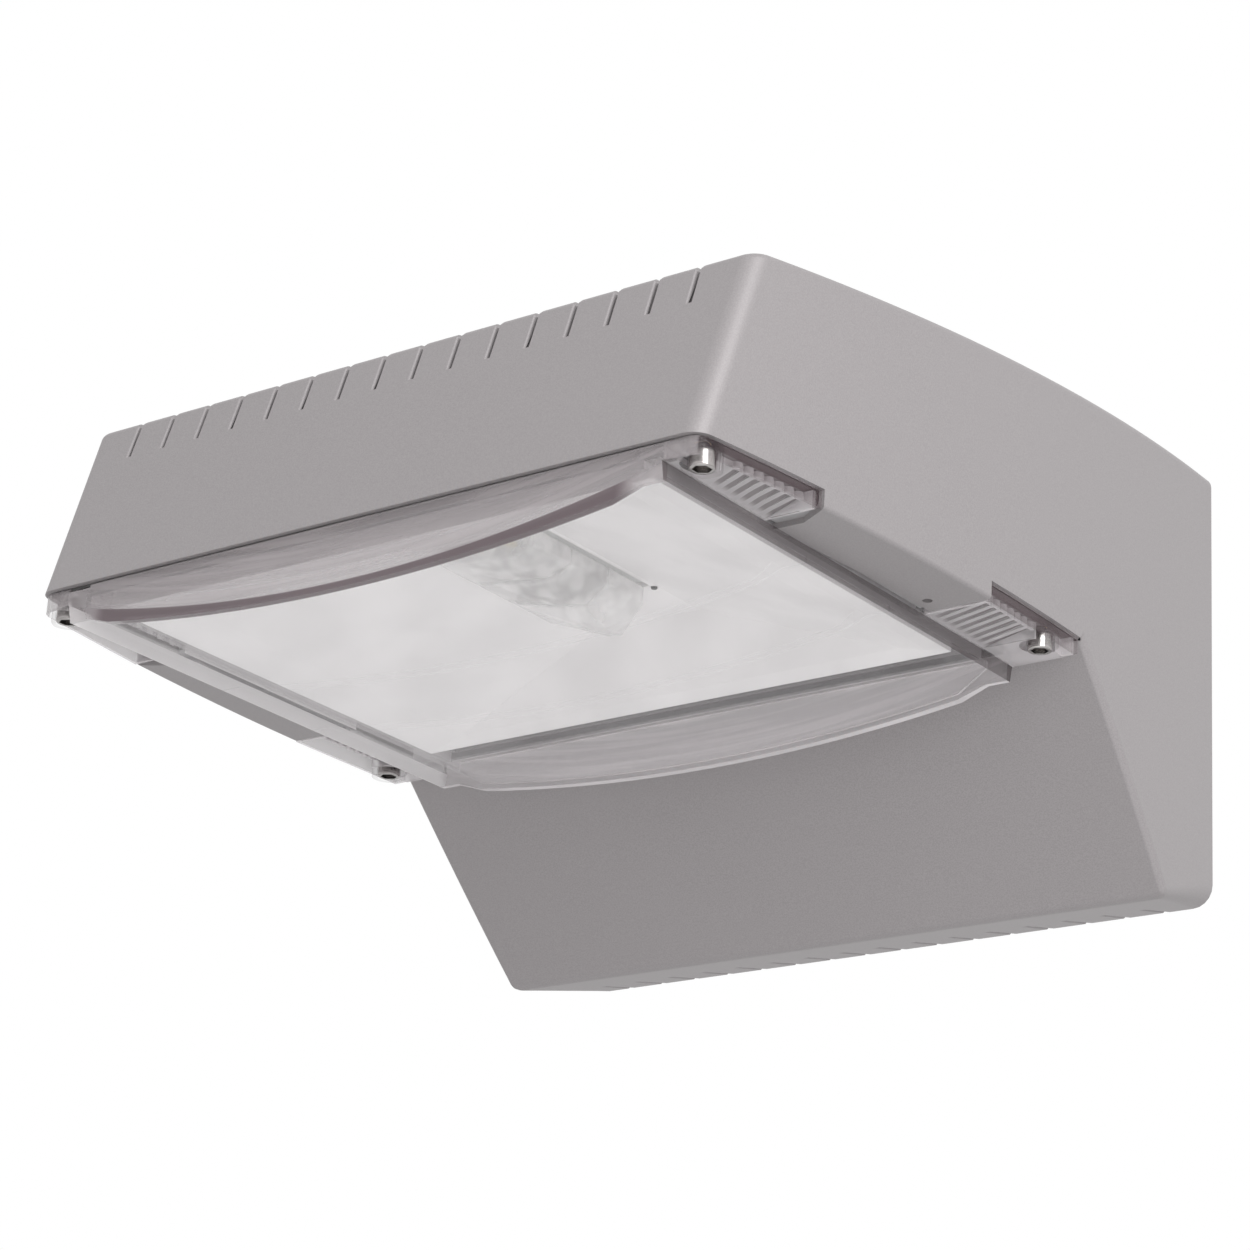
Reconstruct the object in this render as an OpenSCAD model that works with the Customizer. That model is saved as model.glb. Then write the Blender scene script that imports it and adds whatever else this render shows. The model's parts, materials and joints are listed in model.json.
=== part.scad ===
// Wall-mounted outdoor emergency light: a painted hood over a sealed lamp base,
// closed from below by a bowed clear cover. X runs along the wall, the wall is
// the plane y = 0, the head stands out towards -Y and +Z is up.
// All sizes are in millimetres.

/* [Hood] */
// Width of the hood at the wall
housing_w = 260; // [250:2:290]
// How far each side bows out past the width at the wall
side_bow = 12; // [9:1:18]
// Distance from the wall to the lower front edge
head_depth = 300; // [296:2:330]
// How far the front face leans back towards its top
face_lean = 20; // [12:1:24]
// Height of the front face
face_h = 64; // [62:1:80]
// Height of the rear edge on the wall
rear_h = 156; // [152:2:180]
// Distance of the head's underside below the middle of the rear edge
head_drop = 20; // [18:1:24]
// Distance from the wall to the inner corner under the head
chin_depth = 106; // [104:1:107]
// Distance from the wall to the lower edge of the slanted face
foot_depth = 42; // [36:1:50]
// How far that lower edge hangs below the rear edge
foot_drop = 9; // [4:1:14]
// Thickness of the hood's walls
skin = 2; // [1.6:0.1:2.2]
// Radius of the two upright front corners
corner_r = 12; // [8:1:16]
// Radius of the two long roof edges
roof_r = 5; // [4:0.5:7]

/* [Vents] */
// Number of vent slots across the hood
vent_count = 16; // [8:1:16]
// Distance from one vent slot to the next
vent_pitch = 15; // [13:0.5:15]
// Width of a vent slot
vent_w = 1.2; // [1:0.1:1.8]
// Width of the flared mouth of a vent slot
vent_mouth = 2.4; // [2:0.1:3]
// Length of a vent slot on each face
vent_len = 15; // [10:1:18]

/* [Tongues] */
// Distance from the lower front edge to the front end of the tongues
tongue_front_in = 53; // [52:1:60]
// Distance from the wall to the rear end of the tongues
tongue_rear_in = 163; // [162:1:170]
// How far the tongues hang below the hood's edge
tongue_drop = 6; // [5.6:0.1:7]
// Width of the tongue's folded flange
tongue_flange = 22; // [20:0.5:23]
// Thickness of the tongue's folded flange
tongue_t = 1.8; // [1.4:0.1:2]

/* [Wall plate] */
// Distance from the hood's rear outline to the edge of the wall plate
plate_gap = 8; // [7.2:0.1:9]
// Thickness of the wall plate
plate_t = 2; // [1.5:0.1:3]
// Distance between the fixing slots along the wall
fixing_x = 170; // [150:5:185]
// Distance between the fixing slots up the wall
fixing_z = 100; // [90:2:110]
// Width of a fixing slot
fixing_w = 5.5; // [4.5:0.5:6.5]
// Length of a fixing slot, end to end
fixing_len = 12; // [8:1:16]
// Radius of the supply cable's way through the grommet
cable_r = 5; // [4:0.5:6]
// Place of the grommet along the wall
grommet_x = 40; // [20:1:60]
// Height of the grommet above the lower edge of the plate
grommet_up = 30; // [25:1:40]

/* [Lamp base] */
// Gap between the hood's walls and the lamp base's rim
base_gap = 0.6; // [0.4:0.1:0.8]
// Thickness of the lamp base's rim
rim_t = 3; // [2.5:0.1:4]
// Distance from the hood's width at the wall in to the side of the box
base_side = 18; // [17:0.5:19]
// Height of the lamp base's box above its rim's lower face
base_h = 56; // [55.5:0.1:57]
// Thickness of the box's walls
base_t = 2.5; // [2:0.1:2.7]
// Distance from the front of the hood to the front of the box
base_front = 4.5; // [4:0.1:5]
// Distance from the chin to the rear of the box
base_rear = 5; // [4.5:0.1:5.5]

/* [Cover] */
// Gap between the hood's lower edge and the clear cover
cover_gap = 0.6; // [0.4:0.1:1]
// Thickness of the clear cover's flange
cover_flange = 5.4; // [5:0.1:6]
// Thickness of the cover's bowed sheet and walls
cover_t = 2; // [1.6:0.1:2]
// How far the bowed window reaches out past the reflector's rim
window_over = 2; // [1.5:0.1:2.5]
// How far the window's frame stands below the flange
frame_step = 2; // [1.5:0.1:2.2]
// How far the middle of the window bows below its frame
window_bow = 13; // [10:0.5:16]
// Number of moulded pockets beside each screw
pocket_count = 6; // [3:1:6]
// Distance from one pocket to the next
pocket_pitch = 5.6; // [5:0.1:5.8]
// Width of a pocket
pocket_w = 3.4; // [2.4:0.1:3.8]

/* [Screws] */
// How far the front screws stand in from the hood's width at the wall
screw_front_side = 5; // [4.5:0.1:6]
// Distance from the lower front edge to the front screws
screw_front_in = 9.5; // [9:0.1:10]
// How far the rear screws stand out past the hood's width at the wall
screw_rear_side = 4; // [2:0.1:4.5]
// Distance from the wall to the rear screws
screw_rear_y = 121; // [120:0.5:122]
// Radius of a screw's head
screw_head_r = 3.9; // [3.2:0.1:4.1]
// Height of a screw's head
screw_head_h = 4.4; // [3.6:0.1:4.6]
// Radius of a screw's shank
screw_r = 1.7; // [1.4:0.05:1.75]
// Length of a screw under its head
screw_len = 10; // [8:0.5:10]

/* [Reflector] */
// Gap between the reflector's rim and the side walls of the box
pan_side_gap = 2.5; // [2.4:0.1:3.5]
// Distance from the lower front edge to the reflector's rim
pan_front = 10.5; // [10:0.5:12]
// Distance from the wall to the reflector's rear rim
pan_rear = 130; // [129:0.5:132]
// How far the rim strip reaches in at the sides
pan_strip_x = 17; // [12:1:20]
// How far the rim strip reaches in at the front
pan_strip_front = 13; // [10:1:16]
// How far the rim strip reaches in at the rear
pan_strip_rear = 4; // [3:0.5:6]
// Rise of the rim strip
pan_strip_h = 3; // [2:0.5:4]
// Rise of the sloping panels above the rim strip
pan_rise = 20.4; // [19:0.2:20.6]
// Half the width of the flat top
pan_top_x = 22; // [21:0.5:23]
// Distance from the lower front edge to the front of the flat top
pan_top_front = 42; // [40:1:44]
// Distance from the wall to the rear of the flat top
pan_top_rear = 150; // [148:1:152]
// Thickness of the reflector, measured upwards
pan_t = 2; // [1.6:0.1:2.2]

/* [Light source] */
// Width of the lens block
lens_w = 40; // [36:1:40]
// Length of one cell of the lens block
lens_cell = 19; // [17:0.5:19.5]
// Number of cells in the lens block
lens_cells = 3; // [2:1:3]
// Radius of a cell's domed face
lens_r = 15; // [13.5:0.5:16]
// How far the cells stand below the flat top
lens_drop = 15; // [12:0.5:16]
// Thickness of the light source's circuit board
board_t = 1.6; // [1:0.1:2]
// Height of the heat sink over that board
sink_h = 14; // [10:1:16]

/* [Battery and driver] */
// Radius of a battery cell
cell_r = 13; // [11:0.5:13]
// Room at each end of the battery row
battery_side = 9.5; // [8:0.5:14]
// Number of battery cells in the row
cell_count = 4; // [3:1:5]
// Gap between the battery's clips and the driver's case
driver_front_gap = 15; // [14:1:20]
// Gap between the driver's case and the rear wall of the lamp base
driver_rear_gap = 20; // [16:1:24]
// Gap between the driver's case and the side wall of the box
driver_side_gap = 6; // [4:0.5:10]
// Gap between the driver's case and the heat sink
driver_mid_gap = 15.5; // [15:0.5:20]
// Height of the driver's case
driver_h = 24; // [20:1:26]

/* [Hidden] */
$fn = 48;

// Segments of the very large circles that bow the sides and the window
wide_fn = 720;
// Overlap that makes sure a cut passes right through
eps = 1;
// Play between a pin and the hole that holds it
snug = 0.05;
// How much wider the circle of a rounded edge is than its radius, so it meets the faces crisply
edge_relief = 0.3;

// Heights and depths of the hood
head_z = -head_drop;
face_top = head_z + face_h;
rear_top = rear_h / 2;
lean = atan(face_lean / face_h);
roof_run = head_depth - face_lean;
roof_pitch = atan((rear_top - face_top) / roof_run);
mid_y = -head_depth / 2;

// The bow of the sides: a wide circle through both ends of each side
side_r = (pow(mid_y, 2) + side_bow * side_bow) / (2 * side_bow);
side_cx = housing_w / 2 + side_bow - side_r;

// Tongues
tongue_front = -head_depth + tongue_front_in;
tongue_rear = -tongue_rear_in;
tongue_len = tongue_rear - tongue_front;
tongue_z = head_z - tongue_drop;
lock_x = half_w(tongue_rear) - tongue_flange + 7;
lock_y = tongue_rear - 8;
lock_r = 1.1;
lock_len = 9;

// Wall plate and its seal
plate_w = housing_w - 2 * plate_gap;
plate_h = rear_h - 2 * plate_gap;
seal_gap = 0.3;
seal_side_room = 0.8;
seal_end_room = 1.5;
seal_w = plate_gap - skin - seal_gap - seal_side_room;
seal_h = plate_gap - skin - seal_gap - seal_end_room;
seal_depth = 5;
grommet_wall = 4.5;
grommet_flange = 2;
grommet_z = grommet_up - plate_h / 2;
stud_x = -40;
stud_len = 9;
stud_r = 2;
stud_nut_r = 4;
stud_nut_h = 3;

// Lamp base
rim_inset = skin + base_gap;
rim_front = -head_depth + skin / cos(lean) + rim_t * tan(lean) + base_gap;
rim_rear = -chin_depth - 2.5;
rim_top = head_z + rim_t;
box_x = housing_w / 2 - base_side;
box_front = -head_depth + base_front;
box_rear = -chin_depth - base_rear;
box_top = head_z + base_h;
roof_in = box_top - base_t;
boss_r = 5.2;
boss_top = head_z + 7;
insert_r = 2.35;
insert_bore = 2;
insert_len = 6;
front_screw = [housing_w / 2 - screw_front_side, -head_depth + screw_front_in];
rear_screw = [housing_w / 2 + screw_rear_side, -screw_rear_y];

// Support arms
arm_t = 2;
arm_h = 30;
arm_z = -5;
arm_grip = 59;
arm_len = arm_grip - box_rear;
arm_bolt_in = 19;
arm_bolt_step = 20;
arm_foot = 16;
arm_x = box_x + snug;
small_head_r = 3.5;
small_head_h = 2;
small_r = 1.5;

// Clear cover
pan_x = box_x - base_t - pan_side_gap;
window_w = pan_x + window_over;
cover_top = head_z - cover_gap;
flange_z = cover_top - cover_flange;
frame_z = flange_z - frame_step;
frame_w = 4;
cover_inset = skin + 3.5;
cover_front = -head_depth + 1.5;
cover_rear = rim_rear - 0.5;
cover_corner = 9;
cover_waist = half_w(tongue_front) - tongue_flange - 0.9;
block_gap = 1;
bow_r = (pow(window_w, 2) + pow(window_bow, 2)) / (2 * window_bow);
bow_cz = frame_z - window_bow + bow_r;
groove_x = window_w + 5;
groove_w = 3;
groove_deep = 1.8;
ledge_x = window_w + 2.5;
ledge_front = cover_front + 7;
ledge_rear = cover_rear - 7;
groove_front = (cover_front + ledge_front) / 2;
groove_rear = (cover_rear + ledge_rear) / 2;
pocket_len = 14;
pocket_floor = 2;
pocket_first = 11;
pocket_edge = 7.5;
cover_boss_r = 6;
web_z = cover_top - 1.5;
head_room = 0.4;
shank_room = 0.3;

// Cover screws: the head hangs just under the web of its boss
seal_ring_h = 0.95;
screw_top = web_z - seal_ring_h - 0.25;

// Reflector
pan_gap = 0.35;
pan_rim_z = bow_cz - sqrt(pow(bow_r - cover_t, 2) - pan_x * pan_x) + pan_gap;
pan_fold_z = pan_rim_z + pan_strip_h;
pan_top_z = pan_fold_z + pan_rise;
pan_y0 = -head_depth + pan_front;
pan_y1 = -pan_rear;
skirt_t = 1.6;
skirt_top = head_z + 8;
clip_w = 10;
clip_h = 7.4;
clip_in_front = 46.5;
clip_in_rear = 58;
clip_ys = [pan_y0 + clip_in_front, pan_y1 - clip_in_rear];
pan_top_y0 = -head_depth + pan_top_front;
pan_top_y1 = -pan_top_rear;

// Light source
lens_len = lens_cell * lens_cells;
lens_y0 = (pan_top_y0 + pan_top_y1 - lens_len) / 2;
lens_plate = 3;
board_z = pan_top_z + pan_t;
board_x = pan_top_x;
board_margin = 3;
sink_z = board_z + board_t;
fin_t = 1.6;
fin_count = 7;
sink_plate = 3;
chip_w = 3.5;
chip_h = 1;
light_x = lens_w / 2 + 0.6;
light_y = lens_y0 + lens_len + 2.2;
light_r = 1;

// Battery
cell_len = 2 * (box_x - base_t - battery_side) / cell_count;
battery_y = box_front + base_t + cell_r + 16.5;
battery_z = roof_in - cell_r - 2.5;
clip_band = 2;
clip_along = 12;
plug_len = 10;
plug_w = 8;
plug_h = 6;

// Driver
driver_x0 = -box_x + base_t + driver_side_gap;
driver_x1 = -board_x - driver_mid_gap;
driver_w = driver_x1 - driver_x0;
driver_y1 = box_rear - base_t - driver_rear_gap;
driver_y0 = battery_y + cell_r + clip_band + driver_front_gap;
driver_len = driver_y1 - driver_y0;
driver_z = roof_in - driver_h;
case_t = 1.6;
lid_t = 1.6;
driver_board_t = 1.5;
coil_h = 10;
big_can_h = 12;
big_can_r = 5;
small_can_r = 4;
relay_h = 4;
port_h = 8;
port_z = roof_in - case_t - driver_board_t - port_h / 2 - 0.3;

// Cable gland and terminals
gland_side = 42;
gland_x = box_x - gland_side;
gland_z = roof_in - 12.5;
gland_r = 8;
gland_out = 14;
gland_hex = 10.5;
gland_nut_h = 4;
term_w = 42;
term_d = 16;
term_h = 15;
term_ways = 4;
term_room = 30;
term_y = box_rear - base_t - term_room;
way_r = 1.8;
way_deep = 6;
way_screw_r = 2;
way_screw_h = 4.4;
way_screw_in = 1.5;

// Ports in the driver's side for the battery, the light source and the supply: place and width
port_in = 20;
supply_row = 9;
port_battery = driver_y0 + port_in;
port_supply = term_y - supply_row;
port_light = (port_battery + port_supply) / 2;
ports = [[port_battery, 16], [port_light, 10], [port_supply, 12]];

// Wires
wire_r = 0.9;
wire_pitch = 3;
wire_out = 6;
wire_in = 1.5;

function half_w(y) = side_cx + sqrt(side_r * side_r - pow(y - mid_y, 2));
function roof_z(y) = rear_top + y * tan(roof_pitch);

// Side view of the hood as (y, z) points, carried on to a chosen rear plane
function profile(rear_y) = [
    [-head_depth, head_z],
    [-chin_depth, head_z],
    [-foot_depth, -rear_top - foot_drop],
    [rear_y, -rear_top + rear_y * foot_drop / foot_depth],
    [rear_y, roof_z(rear_y)],
    [-roof_run, face_top]];
function left_normal(a, b) = let (d = b - a) [-d[1], d[0]] / norm(d);
function inset_corner(a, b, c, t) =
    let (n = left_normal(a, b), m = left_normal(b, c)) b + t * (n + m) / (1 + n * m);
function inset_outline(p, t) =
    let (k = len(p)) [for (i = [0 : k - 1]) inset_corner(p[(i + k - 1) % k], p[i], p[(i + 1) % k], t)];

// A flat outline in (y, z), made solid along X
module along_x(w) {
    rotate([90, 0, 90]) linear_extrude(w, center = true) children();
}

// The same shape on both sides of the middle
module both_sides() {
    for (s = [0, 1]) mirror([s, 0, 0]) children();
}

// Outline of the hood from above, between two depths, drawn in by an inset
module plan(inset, y0, y1) {
    intersection() {
        translate([side_cx, mid_y]) circle(side_r - inset, $fn = wide_fn);
        translate([-side_cx, mid_y]) circle(side_r - inset, $fn = wide_fn);
        translate([-housing_w, y0]) square([2 * housing_w, y1 - y0]);
    }
}

// The same outline with its two front corners rounded
module rounded_plan(inset, y0, y1, r) {
    corner_x = half_w(y0 + r) - inset - r;
    plan(inset, y0 + r, y1);
    translate([-corner_x, y0]) square([2 * corner_x, r + eps]);
    both_sides() translate([corner_x, y0 + r]) circle(r);
}

// Hood

// What rounds an upright front corner, for a form drawn in by t
module front_corner_cut(t) {
    r = corner_r - t;
    y0 = -head_depth + t / cos(lean);
    x0 = half_w(y0) - t;
    splay = atan((half_w(y0 + face_lean) - t - x0) * cos(lean) / face_h);
    swing = asin(head_depth / 2 / side_r);
    a = r * (1 - sin(swing)) / cos(swing);
    m = 6;
    translate([x0, y0, head_z]) rotate([-lean, 0, 0]) rotate([0, splay, 0])
        translate([0, 0, -head_depth / 10]) linear_extrude(face_h * 2) difference() {
            polygon([[-a, -m], [m, -m], [m + a * sin(swing), a * cos(swing)],
                [a * sin(swing), a * cos(swing)], [-a, r]]);
            translate([-a, r]) circle(r + edge_relief);
        }
}

// What rounds a long roof edge, for a form drawn in by t
module roof_edge_cut(t) {
    r = roof_r - t;
    m = 6;
    translate([side_cx, mid_y, roof_z(mid_y) - t / cos(roof_pitch)]) rotate([roof_pitch, 0, 0])
        rotate_extrude($fn = wide_fn) translate([side_r - t - r, -r]) difference() {
            square([r + m, r + m]);
            circle(r + edge_relief);
        }
}

module hood_form(t, rear_y) {
    difference() {
        intersection() {
            along_x(2 * housing_w) polygon(inset_outline(profile(rear_y), t));
            translate([0, 0, -rear_h]) linear_extrude(2 * rear_h)
                plan(t, -head_depth - eps, rear_y + eps);
        }
        both_sides() {
            front_corner_cut(t);
            roof_edge_cut(t);
        }
    }
}

// A flared groove along Z, its mouth on the plane y = 0 and its point inside it
module flare(mouth, len) {
    proud = 0.3;
    side = (mouth + 2 * proud) / sqrt(2);
    translate([0, -proud, -len]) rotate([0, 0, 45]) translate([-side / 2, -side / 2, 0])
        cube([side, side, len + eps]);
}

// One vent slot over the top front edge, at the middle of the hood
module front_vent() {
    through = skin + 1.5;
    translate([0, -roof_run, face_top]) {
        rotate([-lean, 0, 0]) {
            translate([-vent_w / 2, -eps, -vent_len]) cube([vent_w, through + eps, vent_len + eps]);
            flare(vent_mouth, vent_len);
        }
        rotate([roof_pitch, 0, 0]) {
            translate([-vent_w / 2, -eps, -through]) cube([vent_w, vent_len + eps, through + eps]);
            rotate([-90, 0, 0]) mirror([0, 0, 1]) flare(vent_mouth - 0.2, vent_len);
        }
    }
}

// One drain slot in the bottom face, open at the wall
module drain_vent() {
    translate([-vent_w / 2, -vent_len, -rear_top - foot_drop - eps])
        cube([vent_w, vent_len + eps, foot_drop + skin + 2.5 * eps]);
}

module vents() {
    for (i = [0 : vent_count - 1]) translate([(i - (vent_count - 1) / 2) * vent_pitch, 0, 0]) {
        front_vent();
        drain_vent();
    }
}

// The side wall's tongue, folded in under the lamp base, with its lock hole
module tongues() {
    slant = tongue_flange / 2;
    difference() {
        union() {
            translate([0, 0, tongue_z]) linear_extrude(tongue_t) difference() {
                plan(0, tongue_front, tongue_rear);
                plan(tongue_flange, tongue_front - eps, tongue_rear + eps);
            }
            translate([0, 0, tongue_z]) linear_extrude(tongue_drop + eps) difference() {
                plan(0, tongue_front, tongue_rear);
                plan(skin, tongue_front - eps, tongue_rear + eps);
            }
        }
        both_sides() {
            translate([half_w(tongue_front) - tongue_flange - eps, tongue_front - eps, tongue_z - eps])
                linear_extrude(tongue_t + 2 * eps)
                polygon([[0, 0], [tongue_flange - skin, 0], [0, slant]]);
            translate([lock_x, lock_y, tongue_z - eps]) cylinder(h = tongue_drop, r = lock_r + snug);
        }
    }
}

module hood() {
    color([0.62, 0.61, 0.61]) {
        difference() {
            hood_form(0, 0);
            hood_form(skin, skin + eps);
            translate([0, 0, head_z - eps]) linear_extrude(skin + 2 * eps)
                plan(skin, -head_depth + skin, -chin_depth - eps);
            vents();
        }
        tongues();
    }
}

module hood_lock_screws() {
    color([0.3, 0.3, 0.31]) both_sides() translate([lock_x, lock_y, tongue_z + snug]) difference() {
        cylinder(h = lock_len, r = lock_r);
        translate([0, 0, -eps]) cylinder(h = 1.5 + eps, r = 0.6, $fn = 6);
    }
}

// Wall plate and what sits on it

// A slot with round ends along X
module slot(len, w, h) {
    for (s = [-1, 1]) translate([s * (len - w) / 2, 0, 0]) cylinder(h = h, r = w / 2);
    translate([-(len - w) / 2, -w / 2, 0]) cube([len - w, w, h]);
}

module wall_plate() {
    color([0.70, 0.71, 0.72]) difference() {
        translate([-plate_w / 2, -plate_t, -plate_h / 2]) cube([plate_w, plate_t, plate_h]);
        for (x = [-1, 1], z = [-1, 1]) translate([x * fixing_x / 2, eps, z * fixing_z / 2])
            rotate([90, 0, 0]) slot(fixing_len, fixing_w, plate_t + 2 * eps);
        translate([grommet_x, eps, grommet_z]) rotate([90, 0, 0])
            cylinder(h = plate_t + 2 * eps, r = cable_r + grommet_wall);
        translate([stud_x, eps, grommet_z]) rotate([90, 0, 0])
            cylinder(h = plate_t + 2 * eps, r = stud_r + snug);
        both_sides() for (z = arm_foot_zs()) translate([arm_foot_x(), eps, z]) rotate([90, 0, 0])
            cylinder(h = plate_t + 2 * eps, r = small_r + snug);
    }
}

module wall_seal() {
    color([0.12, 0.12, 0.13]) difference() {
        seal_block(plate_w / 2 + seal_gap + seal_w, plate_h / 2 + seal_gap + seal_h, 0, seal_depth);
        seal_block(plate_w / 2 + seal_gap, plate_h / 2 + seal_gap, eps, seal_depth + 2 * eps);
    }
}
module seal_block(x, z, y, d) {
    translate([-x, y - d, -z]) cube([2 * x, d, 2 * z]);
}

module cable_grommet() {
    color([0.1, 0.1, 0.1]) translate([grommet_x, 0, grommet_z]) rotate([90, 0, 0]) difference() {
        union() {
            cylinder(h = plate_t, r = cable_r + grommet_wall - snug);
            translate([0, 0, plate_t]) cylinder(h = grommet_flange, r = cable_r + grommet_wall + 3);
        }
        translate([0, 0, -eps]) cylinder(h = plate_t + grommet_flange + 2 * eps, r = cable_r);
    }
}

module earth_stud() {
    color([0.76, 0.62, 0.28]) translate([stud_x, 0, grommet_z]) rotate([90, 0, 0]) {
        cylinder(h = plate_t + stud_len, r = stud_r);
        translate([0, 0, plate_t]) cylinder(h = stud_nut_h, r = stud_nut_r, $fn = 6);
    }
}

// Support arms: angled bars from the wall plate to the sides of the lamp base

function arm_foot_x() = arm_x - arm_foot / 2 + arm_t / 2;
function arm_foot_zs() = [arm_z + arm_h / 4, arm_z + arm_h * 3 / 4];
function arm_bolts() = [for (i = [0, 1]) [box_rear - arm_bolt_in - i * arm_bolt_step, arm_z + arm_h / 2]];

module support_arm() {
    color([0.66, 0.67, 0.68]) difference() {
        union() {
            translate([arm_x, -arm_len, arm_z]) cube([arm_t, arm_len - plate_t, arm_h]);
            translate([arm_x + arm_t - arm_foot, -plate_t - arm_t, arm_z]) cube([arm_foot, arm_t, arm_h]);
        }
        for (z = arm_foot_zs()) translate([arm_foot_x(), eps, z]) rotate([90, 0, 0])
            cylinder(h = plate_t + arm_t + 2 * eps, r = small_r + snug);
        for (b = arm_bolts()) translate([arm_x - eps, b[0], b[1]]) rotate([0, 90, 0])
            cylinder(h = arm_t + 2 * eps, r = small_r + snug);
    }
}
module support_arm_left() {
    mirror([1, 0, 0]) support_arm();
}
module support_arm_right() {
    support_arm();
}

module small_screw(len) {
    translate([0, 0, 0]) cylinder(h = small_head_h, r = small_head_r);
    translate([0, 0, -len]) cylinder(h = len + eps, r = small_r);
}

module arm_screws() {
    color([0.72, 0.72, 0.74]) both_sides() {
        for (z = arm_foot_zs()) translate([arm_foot_x(), -plate_t - arm_t, z]) rotate([90, 0, 0])
            small_screw(plate_t + arm_t - snug);
        for (b = arm_bolts()) translate([arm_x + arm_t, b[0], b[1]]) rotate([0, 90, 0])
            small_screw(arm_t + base_t);
    }
}

// Lamp base: the sealed box that carries everything electrical

// The same thing at each of the four cover screws
module at_screws() {
    both_sides() for (p = [front_screw, rear_screw]) translate([p[0], p[1], 0]) children();
}

module rim_plan(inset) {
    rounded_plan(inset, rim_front, rim_rear, corner_r - rim_inset);
}

// Side view of the box, its front leaning with the hood, and of the hollow in it
function box_profile() = [
    [box_front, head_z], [box_rear, head_z], [box_rear, box_top],
    [box_front + base_h * tan(lean), box_top]];
function box_hollow() =
    let (p = inset_outline(box_profile(), base_t), d = base_t + eps)
    [p[0] - [d * tan(lean), d], p[1] - [0, d], p[2], p[3]];

module lamp_base() {
    color([0.55, 0.56, 0.57]) difference() {
        union() {
            translate([0, 0, head_z]) linear_extrude(rim_t) rim_plan(rim_inset);
            along_x(2 * box_x) polygon(box_profile());
            intersection() {
                hood_form(rim_inset, 0);
                at_screws() translate([0, 0, head_z]) cylinder(h = boss_top - head_z, r = boss_r);
            }
            translate([0, 0, tongue_z + tongue_t + snug]) linear_extrude(tongue_drop - tongue_t)
                difference() {
                    plan(rim_inset, tongue_front, tongue_rear);
                    square([2 * cover_waist + 4, 2 * head_depth + 2 * eps], center = true);
                }
        }
        along_x(2 * (box_x - base_t)) polygon(box_hollow());
        at_screws() translate([0, 0, head_z - eps]) {
            cylinder(h = insert_len + 0.2 + eps, r = insert_r);
            cylinder(h = boss_top - head_z + 2 * eps, r = insert_bore);
        }
        both_sides() {
            translate([lock_x, lock_y, tongue_z]) cylinder(h = lock_len + 0.5, r = lock_r + snug);
            for (b = arm_bolts()) translate([box_x - base_t - eps, b[0], b[1]]) rotate([0, 90, 0])
                cylinder(h = base_t + 2 * eps, r = small_r + snug);
        }
        translate([gland_x, box_rear + eps, gland_z]) rotate([90, 0, 0])
            cylinder(h = base_t + 2 * eps, r = gland_r + snug);
    }
}

module thread_inserts() {
    color([0.78, 0.64, 0.30]) at_screws() translate([0, 0, head_z + 0.2]) difference() {
        cylinder(h = insert_len, r = insert_r - snug);
        translate([0, 0, -eps]) cylinder(h = insert_len + 2 * eps, r = insert_bore);
    }
}

// Cable gland in the rear of the lamp base, with its sealing ring and lock nut

module cable_gland() {
    color([0.25, 0.25, 0.26]) translate([gland_x, box_rear, gland_z]) rotate([90, 0, 0]) difference() {
        union() {
            translate([0, 0, -gland_out]) cylinder(h = gland_out - 5, r = gland_r);
            translate([0, 0, -5]) cylinder(h = 5, r = gland_hex, $fn = 6);
            translate([0, 0, -eps]) cylinder(h = base_t + gland_nut_h + 1 + eps, r = gland_r);
        }
        translate([0, 0, -gland_out - eps]) cylinder(h = gland_out + base_t + 2 * gland_r, r = cable_r);
        translate([0, 0, -gland_out - eps]) cylinder(h = 6 + eps, r = cable_r + 1.8);
    }
}

module gland_seal() {
    color([0.08, 0.08, 0.08]) translate([gland_x, box_rear, gland_z]) rotate([90, 0, 0])
        translate([0, 0, -gland_out + 0.5]) difference() {
            cylinder(h = 5.4, r = cable_r + 1.8 - snug);
            translate([0, 0, -eps]) cylinder(h = 5.4 + 2 * eps, r = cable_r - 0.5);
        }
}

module gland_nut() {
    color([0.25, 0.25, 0.26]) translate([gland_x, box_rear - base_t, gland_z]) rotate([90, 0, 0])
        difference() {
            cylinder(h = gland_nut_h, r = gland_hex, $fn = 6);
            translate([0, 0, -eps]) cylinder(h = gland_nut_h + 2 * eps, r = gland_r + snug);
        }
}

function term_x(i) = gland_x - term_w / 2 + term_w * (i + 0.5) / term_ways;

module terminal_block() {
    color([0.88, 0.87, 0.82]) difference() {
        translate([gland_x - term_w / 2, term_y, roof_in - term_h]) cube([term_w, term_d, term_h]);
        for (i = [0 : term_ways - 1]) {
            translate([term_x(i), term_y + term_d / 2, roof_in - term_h - eps])
                cylinder(h = way_deep + eps, r = way_screw_r + 0.2);
            translate([term_x(i), term_y - eps, roof_in - term_h / 2]) rotate([-90, 0, 0])
                cylinder(h = way_deep + eps, r = way_r);
            translate([term_x(i), term_y + term_d - way_deep, roof_in - term_h / 2]) rotate([-90, 0, 0])
                cylinder(h = way_deep + eps, r = way_r);
        }
    }
}

module terminal_screws() {
    color([0.76, 0.66, 0.36]) for (i = [0 : term_ways - 1])
        translate([term_x(i), term_y + term_d / 2, roof_in - term_h + way_screw_in]) difference() {
            cylinder(h = way_screw_h, r = way_screw_r);
            translate([-2 * way_screw_r, -way_screw_r / 5, -eps])
                cube([4 * way_screw_r, way_screw_r * 2 / 5, way_screw_r / 2 + eps]);
        }
}

// Driver: an open case against the roof of the lamp base, a board and a lid

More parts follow.
